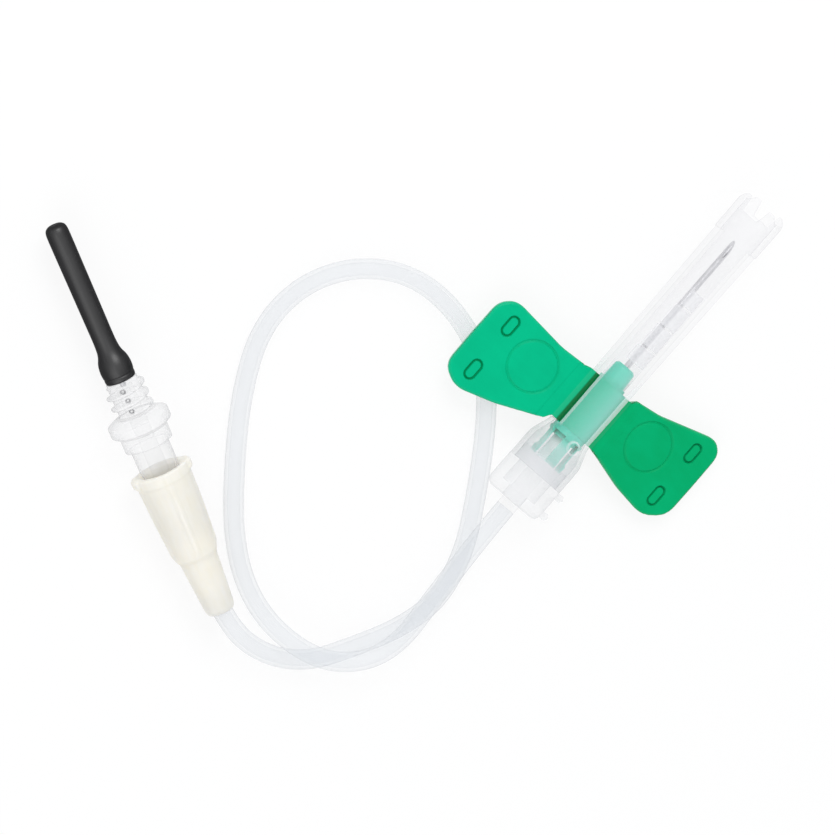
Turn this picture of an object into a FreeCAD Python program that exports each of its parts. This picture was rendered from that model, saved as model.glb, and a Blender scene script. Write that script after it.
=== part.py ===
"""Butterfly needle: a winged blood collection needle in a sliding clear safety shield,
with a soft tube that ends in a luer connector, an adapter and a rubber sleeved rear needle.

The set lies flat as on a table. +X runs along the shield towards the needle tip, +Y is the
side of the left wing, +Z is up. The origin is under the middle of the shield and wings, on
the table. All sizes are in millimetres and angles in degrees.
"""

import FreeCAD, Part
import math
import os
import Sketcher

V = FreeCAD.Vector
X_AXIS = V(1, 0, 0)
Z_AXIS = V(0, 0, 1)

doc = FreeCAD.newDocument("ButterflyNeedle")
sheet = doc.addObject("Spreadsheet::Sheet", "Dims")

SIZES = {
    # Shield and its end cap
    "overall_length": 49.6,
    "shield_rear_radius": 3.15,
    "shield_front_radius": 3.45,
    "shield_bore_radius": 2.6,
    "bell_radius": 4.1,
    "bell_bore_radius": 3.45,
    "bell_length": 3.9,
    "bell_shoulder": 2.7,
    "front_chamfer": 0.55,
    "notch_width": 3.0,
    "notch_depth": 2.0,
    "notch_corner": 0.7,
    "notch_flare": 0.5,
    "slot_height": 2.4,
    "window_radius": 0.85,
    "window_side": 0.75,
    "cap_length": 4.8,
    "cap_radius": 4.15,
    "cap_round": 0.8,
    "cap_spigot": 2.2,
    "cap_floor": 1.6,
    "cap_wall": 0.8,
    "grip_tab_height": 0.7,
    "grip_tab_length": 1.0,
    "grip_tab_width": 3.2,
    "running_gap": 0.15,
    "seat_gap": 0.02,
    # Needle hub, saddle and wings
    "hub_radius": 1.75,
    "saddle_radius": 2.4,
    "saddle_length": 7.8,
    "saddle_to_seam": 6.9,
    "stub_overlap": 0.3,
    "collar_length": 0.4,
    "collar_radius": 2.0,
    "nose_length": 2.6,
    "nose_base_radius": 1.65,
    "nose_tip_radius": 1.5,
    "nose_chamfer": 0.3,
    "hub_tail": 1.5,
    "tube_socket": 2.2,
    "latch_width": 1.5,
    "latch_thickness": 0.45,
    "latch_length": 5.0,
    "latch_barb": 1.3,
    "latch_undercut": 0.25,
    "latch_foot": 0.2,
    "latch_slope": 0.5,
    "flange_length": 0.9,
    "slide_travel": 24.0,
    "stub_straight": 3.5,
    "stub_thickness": 1.0,
    "wing_root": 8.7,
    "wing_root_rear": -0.66,
    "wing_thickness": 1.0,
    "wing_reach": 14.0,
    "wing_rear_flare": 3.1,
    "wing_rear_bulge": 1.95,
    "wing_front_flare": 1.75,
    "wing_neck_flare": 0.15,
    "wing_neck": 3.8,
    "wing_waist": 5.8,
    "wing_corner_length": 1.8,
    "wing_corner_width": 1.5,
    "wing_corner_radius": 1.7,
    "wing_side_radius": 8.0,
    "left_wing_lean": -2.0,
    "right_wing_lean": 2.0,
    "left_wing_droop": 3.5,
    "right_wing_droop": 10.0,
    "hinge_side": 4.3,
    "hinge_web": 0.3,
    "hinge_gap": 0.05,
    "groove_half_width": 0.75,
    "stud_length": 3.0,
    "stud_width": 1.65,
    "stud_recess": 0.3,
    "stud_rim": 0.28,
    "stud_inset": 3.2,
    "stud_spacing": 7.2,
    "ring_radius": 3.5,
    "ring_width": 0.3,
    "ring_depth": 0.15,
    "ring_reach": 5.2,
    "ring_offset": 0.34,
    # Needle
    "needle_radius": 0.41,
    "needle_bore": 0.26,
    "needle_seat": 5.5,
    "needle_exposed": 21.2,
    "bevel_angle": 14.0,
    # Tube
    "tube_radius": 1.3,
    "tube_bond": 0.03,
    "tube_lead": 2.5,
    # Luer connector
    "adapter_height": 4.0,
    "connector_length": 20.1,
    "barrel_length": 7.7,
    "barrel_tip_radius": 1.95,
    "barrel_radius": 2.5,
    "barrel_round": 0.6,
    "barrel_chamfer": 0.3,
    "waist_slope": 0.5,
    "connector_waist_radius": 2.85,
    "connector_mouth_radius": 3.55,
    "lug_radius": 3.95,
    "lug_length": 1.2,
    "lug_width": 2.8,
    "lug_rounding": 0.5,
    "mouth_recess_radius": 2.95,
    "mouth_recess_depth": 1.0,
    "luer_mouth_radius": 2.15,
    "luer_bore_length": 8.0,
    "luer_taper": 0.03,
    "connector_seat": 3.0,
    "flow_radius": 0.8,
    "connector_rib": 0.2,
    "rib_ramp": 1.0,
    # Adapter
    "luer_engaged": 7.6,
    "luer_wall": 0.75,
    "shoulder_length": 0.3,
    "neck_radius": 2.5,
    "neck_length": 3.5,
    "drum_radius": 3.15,
    "drum_length": 1.9,
    "drum_flat": 2.75,
    "adapter_collar_radius": 4.0,
    "adapter_collar_length": 2.5,
    "collar_bevel": 0.6,
    "thread_core_radius": 2.05,
    "thread_height": 0.6,
    "thread_pitch": 1.45,
    "thread_count": 3,
    "spigot_radius": 1.15,
    "spigot_barb": 0.3,
    "spigot_length": 2.6,
    "spigot_tip_chamfer": 0.2,
    # Rear needle and its sleeve
    "rear_needle_radius": 0.36,
    "rear_needle_bore": 0.2,
    "rear_needle_seat": 3.5,
    "rear_needle_length": 16.8,
    "sleeve_radius": 1.38,
    "sleeve_tip_radius": 1.46,
    "sleeve_base_radius": 2.1,
    "sleeve_rim_radius": 1.95,
    "sleeve_length": 22.0,
    "sleeve_flare": 4.4,
    "sleeve_step": 0.12,
    "sleeve_tip_length": 2.2,
    "sleeve_tip_round": 1.1,
    "sleeve_bore_radius": 0.62,
    "sleeve_tip_wall": 2.0,
}

for row, (alias, value) in enumerate(SIZES.items(), start=1):
    sheet.set(f"A{row}", alias.replace("_", " "))
    sheet.set(f"B{row}", str(value))
    sheet.setAlias(f"B{row}", alias)
doc.recompute()


def size(formula):
    """The number that a formula over the sheet's sizes gives."""
    return float(sheet.evalExpression(formula))


# Stations along the shield, as formulas over the sheet
REAR = "(-Dims.overall_length / 2)"
FRONT = "(Dims.overall_length / 2)"
SEAM = f"({REAR} + Dims.cap_length)"
SHOULDER = f"({SEAM} + Dims.bell_length)"
BARREL = f"({SHOULDER} + Dims.bell_shoulder)"
SADDLE_REAR = f"({SEAM} + Dims.saddle_to_seam)"
SADDLE_FRONT = f"({SADDLE_REAR} + Dims.saddle_length)"
COLLAR_FRONT = f"({SADDLE_FRONT} + Dims.seat_gap + Dims.collar_length)"
NOSE_TIP = f"({COLLAR_FRONT} + Dims.nose_length)"
FLANGE_FRONT = f"({SADDLE_REAR} - Dims.seat_gap)"
FLANGE_REAR = f"({FLANGE_FRONT} - Dims.flange_length)"
HUB_REAR = f"({FLANGE_FRONT} - Dims.hub_tail)"
SOCKET_END = f"({HUB_REAR} + Dims.tube_socket)"
SLOT_REAR = f"({SADDLE_REAR} - Dims.running_gap)"
SLOT_FRONT = f"({SADDLE_FRONT} + Dims.slide_travel + Dims.running_gap)"

# Stations along the connector and adapter, from the connector's tube end
MOUTH = "(Dims.connector_length)"
LUER_TIP = f"({MOUTH} - Dims.luer_engaged)"
NECK_END = f"({MOUTH} + Dims.neck_length)"
DRUM_END = f"({NECK_END} + Dims.drum_length)"
COLLAR_END = f"({DRUM_END} + Dims.adapter_collar_length)"
THREAD_END = f"({COLLAR_END} + (Dims.thread_count + 0.2) * Dims.thread_pitch)"
SPIGOT_END = f"({THREAD_END} + Dims.spigot_length)"

AXIS_HEIGHT = size("Dims.cap_radius")
TUBE_FROM = size(SOCKET_END)

# The tube's route, from inside the hub's rear socket to inside the connector: out through the
# cap, round the lower left of the loop, over its top and back beneath itself to the connector.
TUBE_ROUTE = [
    (TUBE_FROM, 0.0, AXIS_HEIGHT),
    (-26.2, 0.0, AXIS_HEIGHT),
    (-40.3, -0.7, 4.3),
    (-47.6, -1.3, 4.35),
    (-52.3, 0.5, 4.35),
    (-55.6, 4.5, 4.35),
    (-56.7, 9.7, 4.2),
    (-56.3, 14.8, 2.6),
    (-54.2, 19.7, 1.5),
    (-50.3, 24.6, 1.35),
    (-44.4, 29.7, 1.35),
    (-37.2, 35.0, 1.35),
    (-29.6, 38.8, 1.35),
    (-22.6, 38.9, 1.35),
    (-16.6, 36.0, 1.35),
    (-12.4, 30.9, 1.35),
    (-10.9, 24.9, 1.35),
    (-11.9, 18.2, 1.35),
    (-14.9, 12.3, 1.35),
    (-20.1, 7.7, 1.35),
    (-26.8, 3.2, 1.35),
    (-33.6, -0.8, 1.35),
    (-40.4, -2.4, 1.35),
    (-46.2, -1.0, 1.35),
    (-51.8, 2.0, 1.35),
    (-57.2, 5.4, 1.45),
    (-60.08, 10.7, 2.6),
]
CONNECTOR_END = V(-59.16, 19.36, size("Dims.adapter_height"))
ADAPTER_ANGLE = 64.6
ADAPTER_DIRECTION = V(math.cos(math.radians(ADAPTER_ANGLE)), math.sin(math.radians(ADAPTER_ANGLE)), 0)


def origin_plane(body, role):
    """One of a body's own origin planes, by its role."""
    return next(f for f in body.Origin.OriginFeatures if f.Role == role)


def new_body(name):
    body = doc.addObject("PartDesign::Body", name)
    body.Label = name
    return body


def new_sketch(body, name, role, lift=None):
    """An empty sketch on an origin plane, lifted off it by a formula where one is given."""
    sketch = body.newObject("Sketcher::SketchObject", name)
    sketch.AttachmentSupport = [(origin_plane(body, role), "")]
    sketch.MapMode = "FlatFace"
    if lift is not None:
        sketch.AttachmentOffset = FreeCAD.Placement(V(0, 0, size(lift)), FreeCAD.Rotation())
        sketch.setExpression("AttachmentOffset.Base.z", lift)
    return sketch


def draw_polygon(sketch, corners):
    """A closed polygon whose corners are bound to pairs of formulas."""
    first = sketch.GeometryCount
    count = len(corners)
    places = [(size(x), size(y)) for x, y in corners]
    for i in range(count):
        sketch.addGeometry(Part.LineSegment(V(*places[i], 0), V(*places[(i + 1) % count], 0)), False)
    for i in range(count):
        sketch.addConstraint(Sketcher.Constraint("Coincident", first + i, 2, first + (i + 1) % count, 1))
    for i, formulas in enumerate(corners):
        for kind, formula, place in zip(("DistanceX", "DistanceY"), formulas, places[i]):
            k = sketch.addConstraint(Sketcher.Constraint(kind, -1, 1, first + i, 1, place))
            sketch.setExpression(f"Constraints[{k}]", formula)


def draw_rectangle(sketch, left, right, low, high):
    draw_polygon(sketch, [(left, low), (right, low), (right, high), (left, high)])


def draw_circle(sketch, x, y, radius):
    """A circle whose centre and radius are bound to formulas."""
    k = sketch.addGeometry(Part.Circle(V(size(x), size(y), 0), Z_AXIS, size(radius)), False)
    for kind, formula in (("DistanceX", x), ("DistanceY", y)):
        c = sketch.addConstraint(Sketcher.Constraint(kind, -1, 1, k, 3, size(formula)))
        sketch.setExpression(f"Constraints[{c}]", formula)
    c = sketch.addConstraint(Sketcher.Constraint("Radius", k, size(radius)))
    sketch.setExpression(f"Constraints[{c}]", radius)


def draw_oval(sketch, x, y, length, width):
    """A round-ended slot outline along the sketch's x axis."""
    radius = size(width) / 2
    half = size(length) / 2 - radius
    middle = V(size(x), size(y), 0)
    for side in (1, -1):
        end = Part.Circle(middle + V(side * half, 0, 0), Z_AXIS, radius)
        start = -side * math.pi / 2
        sketch.addGeometry(Part.ArcOfCircle(end, start, start + math.pi), False)
        left = middle + V(-half, side * radius, 0)
        right = middle + V(half, side * radius, 0)
        sketch.addGeometry(Part.LineSegment(left, right), False)


def turn(body, name, profile):
    """A solid of revolution about the body's X axis. The profile is (station, radius) formulas."""
    sketch = new_sketch(body, name + "_profile", "XY_Plane")
    draw_polygon(sketch, profile)
    feature = body.newObject("PartDesign::Revolution", name)
    feature.Profile = sketch
    feature.ReferenceAxis = (sketch, ["H_Axis"])
    feature.Angle = 360
    return feature


def cut_through(body, name, sketch):
    """A pocket right through the body, both ways from the sketch."""
    feature = body.newObject("PartDesign::Pocket", name)
    feature.Profile = sketch
    feature.Type = "ThroughAll"
    feature.SideType = "Symmetric"
    return feature


def cut_up(body, name, sketch, depth, upward=True):
    """A pocket of a given depth from the sketch's plane, up or down along its normal."""
    feature = body.newObject("PartDesign::Pocket", name)
    feature.Profile = sketch
    feature.Length = size(depth)
    feature.setExpression("Length", depth)
    feature.Reversed = upward
    return feature


def pad(body, name, sketch, length, both_ways=False, reverse=False):
    feature = body.newObject("PartDesign::Pad", name)
    feature.Profile = sketch
    feature.Length = size(length)
    feature.setExpression("Length", length)
    feature.SideType = "Symmetric" if both_ways else "One side"
    feature.Reversed = reverse
    return feature


def upright_edges(shape, places):
    """Names of the edges along Z that stand at any of the (x, y) places."""
    names = []
    for k, edge in enumerate(shape.Edges, start=1):
        a, b = edge.Vertexes[0].Point, edge.Vertexes[-1].Point
        upright = abs(a.x - b.x) < 1e-6 and abs(a.y - b.y) < 1e-6 and abs(a.z - b.z) > 1e-6
        if upright and any(math.hypot(a.x - x, a.y - y) < 1e-4 for x, y in places):
            names.append(f"Edge{k}")
    return names


def fillet(body, name, base, edges, radius):
    feature = body.newObject("PartDesign::Fillet", name)
    feature.Base = (base, edges)
    feature.Radius = size(radius)
    feature.setExpression("Radius", radius)
    return feature


def make_shield():
    """The clear sleeve: a bell at its rear, side slots for the wings and a notched front."""
    body = new_body("shield")
    turn(body, "shield_wall", [
        (SEAM, "Dims.bell_bore_radius"),
        (SEAM, "Dims.bell_radius"),
        (SHOULDER, "Dims.bell_radius"),
        (BARREL, "Dims.shield_rear_radius"),
        (f"{FRONT} - Dims.front_chamfer", "Dims.shield_front_radius"),
        (FRONT, "Dims.shield_front_radius - Dims.front_chamfer"),
        (FRONT, "Dims.shield_bore_radius"),
        (BARREL, "Dims.shield_bore_radius"),
        (SHOULDER, "Dims.bell_bore_radius"),
    ])
    slots = new_sketch(body, "wing_slots_outline", "XZ_Plane")
    half_slot = "(Dims.slot_height / 2)"
    draw_rectangle(slots, SLOT_REAR, SLOT_FRONT, f"-{half_slot}", half_slot)
    cut_through(body, "wing_slots", slots)
    notch = new_sketch(body, "front_notch_outline", "XY_Plane")
    notch_bottom = f"({FRONT} - Dims.notch_depth)"
    half_notch = "(Dims.notch_width / 2)"
    draw_polygon(notch, [
        (f"{FRONT} + 1", f"-{half_notch} - Dims.notch_flare"),
        (f"{FRONT} + 1", f"{half_notch} + Dims.notch_flare"),
        (f"{notch_bottom} + Dims.notch_corner", half_notch),
        (notch_bottom, f"{half_notch} - Dims.notch_corner"),
        (notch_bottom, f"Dims.notch_corner - {half_notch}"),
        (f"{notch_bottom} + Dims.notch_corner", f"-{half_notch}"),
    ])
    cut_through(body, "front_notch", notch)
    window = new_sketch(body, "latch_window_outline", "XY_Plane")
    window_x = f"({SHOULDER} + 0.55 * Dims.bell_shoulder)"
    draw_circle(window, window_x, "-Dims.window_side", "Dims.window_radius")
    cut_up(body, "latch_window", window, "Dims.bell_radius + 1")
    return body


def make_end_cap():
    """The cap that closes the bell: a spigot inside it, a bore for the tube and two grip tabs."""
    body = new_body("end_cap")
    bore = "(Dims.tube_radius + Dims.running_gap)"
    spigot = "(Dims.bell_bore_radius - Dims.seat_gap)"
    turn(body, "cap_wall", [
        (REAR, bore),
        (REAR, "Dims.cap_radius - Dims.cap_round"),
        (f"{REAR} + 0.3 * Dims.cap_round", "Dims.cap_radius - 0.35 * Dims.cap_round"),
        (f"{REAR} + Dims.cap_round", "Dims.cap_radius"),
        (f"{SEAM} - Dims.seat_gap", "Dims.cap_radius"),
        (f"{SEAM} - Dims.seat_gap", spigot),
        (f"{SEAM} + Dims.cap_spigot", spigot),
        (f"{SEAM} + Dims.cap_spigot", f"{spigot} - Dims.cap_wall"),
        (f"{REAR} + Dims.cap_floor", f"{spigot} - Dims.cap_wall"),
        (f"{REAR} + Dims.cap_floor", bore),
    ])
    first_tab = f"({REAR} + Dims.cap_round)"
    second_tab = f"({SEAM} - Dims.grip_tab_length - Dims.seat_gap)"
    for number, rear in ((1, first_tab), (2, second_tab)):
        tab = new_sketch(body, f"grip_tab_{number}_outline", "XY_Plane")
        draw_polygon(tab, [
            (rear, "-(Dims.cap_radius - 0.5 * Dims.cap_wall)"),
            (rear, "-(Dims.cap_radius + 0.6 * Dims.grip_tab_height)"),
            (f"{rear} + 0.5 * Dims.grip_tab_length", "-(Dims.cap_radius + Dims.grip_tab_height)"),
            (f"{rear} + Dims.grip_tab_length", "-(Dims.cap_radius + 0.6 * Dims.grip_tab_height)"),
            (f"{rear} + Dims.grip_tab_length", "-(Dims.cap_radius - 0.5 * Dims.cap_wall)"),
        ])
        pad(body, f"grip_tab_{number}", tab, "Dims.grip_tab_width", both_ways=True)
    return body


def make_needle_hub():
    """The hub that carries the needle: nose, collar, barrel for the saddle, tube socket, arms."""
    body = new_body("needle_hub")
    needle_hole = "(Dims.needle_radius + Dims.seat_gap)"
    socket = "(Dims.tube_radius + Dims.seat_gap)"
    turn(body, "hub_wall", [
        (HUB_REAR, socket),
        (HUB_REAR, "Dims.hub_radius"),
        (FLANGE_REAR, "Dims.hub_radius"),
        (FLANGE_REAR, "Dims.saddle_radius"),
        (FLANGE_FRONT, "Dims.saddle_radius"),
        (FLANGE_FRONT, "Dims.hub_radius"),
        (f"{SADDLE_FRONT} + Dims.seat_gap", "Dims.hub_radius"),
        (f"{SADDLE_FRONT} + Dims.seat_gap", "Dims.collar_radius"),
        (COLLAR_FRONT, "Dims.collar_radius"),
        (COLLAR_FRONT, "Dims.nose_base_radius"),
        (f"{NOSE_TIP} - Dims.nose_chamfer", "Dims.nose_tip_radius"),
        (NOSE_TIP, "Dims.nose_tip_radius - Dims.nose_chamfer"),
        (NOSE_TIP, needle_hole),
        (f"{NOSE_TIP} - Dims.needle_seat", needle_hole),
        (f"{NOSE_TIP} - Dims.needle_seat", "Dims.needle_bore"),
        (SOCKET_END, "Dims.needle_bore"),
        (SOCKET_END, socket),
    ])
    arm_end = f"({FLANGE_FRONT} - Dims.latch_length)"
    top = "Dims.saddle_radius"
    low = f"({top} - Dims.latch_thickness)"
    slim = f"({top} - Dims.latch_undercut)"
    foot = f"({FLANGE_REAR} - Dims.latch_foot)"
    arm = new_sketch(body, "latch_arm_outline", "XZ_Plane")
    draw_polygon(arm, [
        (f"{FLANGE_REAR} + Dims.latch_foot", low),
        (f"{FLANGE_REAR} + Dims.latch_foot", top),
        (foot, top),
        (f"{FLANGE_REAR} - Dims.latch_slope", slim),
        (f"{arm_end} + Dims.latch_barb", slim),
        (f"{arm_end} + 0.7 * Dims.latch_barb", top),
        (arm_end, f"{top} - 0.4 * Dims.latch_undercut"),
        (arm_end, low),
    ])
    arm_pad = pad(body, "latch_arm", arm, "Dims.latch_width", both_ways=True)
    ring = body.newObject("PartDesign::PolarPattern", "latch_arms")
    ring.Originals = [arm_pad]
    ring.Axis = (origin_axis(body), [""])
    ring.Angle = 360
    ring.Occurrences = 4
    body.Tip = ring
    return body


def origin_axis(body):
    return next(f for f in body.Origin.OriginFeatures if f.Role == "X_Axis")


def leaned(side, x, y):
    """The X of a wing point that stands at (x, y) from its hinge's rear end before the wing leans.

    Both wings lean in their own plane about the shield's axis: the left one back, the right one ahead.
    """
    lean = "Dims.left_wing_lean" if side > 0 else "Dims.right_wing_lean"
    return f"({x} + {lean} * ({y} + Dims.hinge_side) / (Dims.wing_reach + Dims.hinge_side))"


def make_saddle():
    """The soft sleeve on the hub, with the two stubs that reach out through the shield's slots."""
    body = new_body("wing_saddle")
    inside = "(Dims.hub_radius + Dims.seat_gap)"
    turn(body, "saddle_wall", [
        (SADDLE_REAR, inside),
        (SADDLE_REAR, "Dims.saddle_radius"),
        (SADDLE_FRONT, "Dims.saddle_radius"),
        (SADDLE_FRONT, inside),
    ])
    half = "Dims.stub_thickness / 2"
    root = "(Dims.hub_radius + Dims.stub_overlap)"
    edge = "(Dims.hinge_side - Dims.hinge_gap)"
    for name, side in (("left", 1), ("right", -1)):
        wing_rear = leaned(side, f"{SADDLE_REAR} + Dims.wing_root_rear", "0")
        wing_front = leaned(side, f"{SADDLE_REAR} + Dims.wing_root_rear + Dims.wing_root", "0")
        stub = new_sketch(body, f"{name}_stub_outline", "XY_Plane", lift=f"-{half}")
        draw_polygon(stub, [
            (SADDLE_REAR, f"{side} * {root}"),
            (SADDLE_REAR, f"{side} * Dims.stub_straight"),
            (wing_rear, f"{side} * {edge}"),
            (wing_front, f"{side} * {edge}"),
            (SADDLE_FRONT, f"{side} * Dims.stub_straight"),
            (SADDLE_FRONT, f"{side} * {root}"),
        ])
        pad(body, f"{name}_stub", stub, "Dims.stub_thickness")
        groove = new_sketch(body, f"{name}_groove_outline", "YZ_Plane")
        draw_polygon(groove, [
            (f"{side} * ({edge} + 0.5)", f"Dims.hinge_web / 2 - {half}"),
            (f"{side} * {edge}", f"Dims.hinge_web / 2 - {half}"),
            (f"{side} * ({edge} - Dims.groove_half_width)", half),
            (f"{side} * ({edge} - Dims.groove_half_width)", f"{half} + 0.5"),
            (f"{side} * ({edge} + 0.5)", f"{half} + 0.5"),
        ])
        cut_through(body, f"{name}_groove", groove)
    return body


def make_wing(name, side):
    """A wing in its hinge's own frame: the hinge line is the X axis, the wing reaches along side * Y."""
    body = new_body(name)
    reach = "Dims.wing_reach"
    rear = "Dims.wing_root_rear"
    front = f"({rear} + Dims.wing_root)"
    front_side = f"({front} + Dims.wing_front_flare)"
    rear_side = f"({rear} - Dims.wing_rear_flare)"
    outline = [
        (rear, "Dims.hinge_gap"),
        (front, "Dims.hinge_gap"),
        (f"({front} + Dims.wing_neck_flare)", "Dims.wing_neck"),
        (front_side, f"({reach} - Dims.wing_corner_length)"),
        (f"({front_side} - Dims.wing_corner_width)", reach),
        (f"({rear_side} + Dims.wing_corner_length)", reach),
        (rear_side, f"({reach} - 1.6 * Dims.wing_corner_length)"),
        (f"({rear} - Dims.wing_rear_bulge)", "Dims.wing_waist"),
    ]
    places = [(leaned(side, x, y), f"{side} * {y}") for x, y in outline]
    sketch = new_sketch(body, name + "_outline", "XY_Plane", lift="-Dims.hinge_web / 2")
    draw_polygon(sketch, places)
    plate = pad(body, name + "_plate", sketch, "Dims.wing_thickness")
    doc.recompute()
    corners = [(size(x), size(y)) for x, y in places]
    tips = upright_edges(plate.Shape, corners[3:7])
    outer = fillet(body, name + "_corners", plate, tips, "Dims.wing_corner_radius")
    doc.recompute()
    sides = upright_edges(outer.Shape, [corners[2], corners[7]])
    fillet(body, name + "_sides", outer, sides, "Dims.wing_side_radius")

    bevel = new_sketch(body, name + "_bevel_outline", "YZ_Plane")
    top = "(Dims.wing_thickness - Dims.hinge_web / 2)"
    draw_polygon(bevel, [
        (f"{side} * Dims.hinge_gap * 0.9", "0"),
        (f"{side} * (Dims.hinge_gap + Dims.groove_half_width)", top),
        (f"{side} * (Dims.hinge_gap + Dims.groove_half_width)", f"{top} + 1"),
        (f"{side} * (Dims.hinge_gap * 0.9 - 1)", f"{top} + 1"),
        (f"{side} * (Dims.hinge_gap * 0.9 - 1)", "0"),
    ])
    cut_through(body, name + "_bevel", bevel)

    studs = new_sketch(body, name + "_stud_outline", "XY_Plane", lift=top)
    stud_y = f"({reach} - Dims.stud_inset)"
    middle = f"({front_side} + {rear_side}) / 2"
    for place in ("-1", "1"):
        stud_x = leaned(side, f"{middle} + {place} * Dims.stud_spacing / 2", stud_y)
        for less in ("0", "2 * Dims.stud_rim"):
            length, width = f"Dims.stud_length - {less}", f"Dims.stud_width - {less}"
            draw_oval(studs, stud_x, f"{side} * {stud_y}", length, width)
    cut_up(body, name + "_studs", studs, "Dims.stud_recess", upward=False)

    ring = new_sketch(body, name + "_ring_outline", "XY_Plane", lift=top)
    ring_x = leaned(side, f"({rear} + {front}) / 2 + Dims.ring_offset", "Dims.ring_reach")
    for radius in ("Dims.ring_radius", "Dims.ring_radius - Dims.ring_width"):
        draw_circle(ring, ring_x, f"{side} * Dims.ring_reach", radius)
    cut_up(body, name + "_ring", ring, "Dims.ring_depth", upward=False)
    return body


def make_needle(name, start, length, radius, bore):
    """A steel cannula along X, with a slanting point whose open face looks up."""
    body = new_body(name)
    stop = f"({start} + {length})"
    turn(body, name + "_wall", [(start, bore), (start, radius), (stop, radius), (stop, bore)])
    point = new_sketch(body, name + "_point_outline", "XZ_Plane")
    slope = "tan(Dims.bevel_angle * 1 deg)"
    draw_polygon(point, [
        (f"{stop} - 2 * {radius} / {slope}", radius),
        (f"{stop} + 1", radius),
        (f"{stop} + 1", f"-{radius} - {slope}"),
    ])
    cut_through(body, name + "_point", point)
    return body


def make_female_luer():
    """The soft ivory connector on the tube's end, with lugs at its mouth and grip ribs."""
    body = new_body("female_luer")
    tube_hole = "(Dims.tube_radius + Dims.tube_bond)"
    luer_end = "(Dims.luer_mouth_radius - Dims.luer_taper * Dims.luer_bore_length)"
    lug_start = f"({MOUTH} - Dims.lug_length)"
    turn(body, "connector_wall", [
        ("0", tube_hole),
        ("0", "Dims.barrel_tip_radius - Dims.barrel_chamfer"),
        ("Dims.barrel_round", "Dims.barrel_tip_radius"),
        ("Dims.barrel_length", "Dims.barrel_radius"),
        ("Dims.barrel_length + Dims.waist_slope", "Dims.connector_waist_radius"),
        (lug_start, "Dims.connector_mouth_radius"),
        (MOUTH, "Dims.connector_mouth_radius"),
        (MOUTH, "Dims.mouth_recess_radius"),
        (f"{MOUTH} - Dims.mouth_recess_depth", "Dims.luer_mouth_radius"),
        (f"{MOUTH} - Dims.luer_bore_length - Dims.mouth_recess_depth", luer_end),
        (f"{MOUTH} - Dims.luer_bore_length - Dims.mouth_recess_depth", "Dims.flow_radius"),
        ("Dims.connector_seat", "Dims.flow_radius"),
        ("Dims.connector_seat", tube_hole),
    ])
    lugs = new_sketch(body, "lug_outline", "YZ_Plane", lift=lug_start)
    half = "Dims.lug_width / 2"
    inner = "(Dims.connector_mouth_radius + Dims.mouth_recess_radius) / 2"
    rounding = "(Dims.lug_radius - Dims.lug_rounding)"
    for side in ("1", "-1"):
        draw_polygon(lugs, [
            (f"{side} * {inner}", f"-{half}"),
            (f"{side} * {rounding}", f"-{half}"),
            (f"{side} * Dims.lug_radius", f"-{half} / 2"),
            (f"{side} * Dims.lug_radius", f"{half} / 2"),
            (f"{side} * {rounding}", half),
            (f"{side} * {inner}", half),
        ])
    pad(body, "lugs", lugs, "Dims.lug_length")
    rib = new_sketch(body, "rib_outline", "XZ_Plane")
    rib_start = "(Dims.barrel_length + Dims.waist_slope)"
    draw_polygon(rib, [
        (rib_start, "Dims.connector_waist_radius - 2 * Dims.connector_rib"),
        (rib_start, "Dims.connector_waist_radius"),
        (f"{rib_start} + Dims.rib_ramp", "Dims.connector_waist_radius + Dims.connector_rib"),
        (lug_start, "Dims.connector_mouth_radius + Dims.connector_rib / 2"),
        (lug_start, "Dims.connector_mouth_radius - 2 * Dims.connector_rib"),
    ])
    rib_pad = pad(body, "grip_rib", rib, "Dims.connector_rib * 2", both_ways=True)
    ring = body.newObject("PartDesign::PolarPattern", "grip_ribs")
    ring.Originals = [rib_pad]
    ring.Axis = (origin_axis(body), [""])
    ring.Angle = 360
    ring.Occurrences = 4
    body.Tip = ring
    return body


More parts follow.
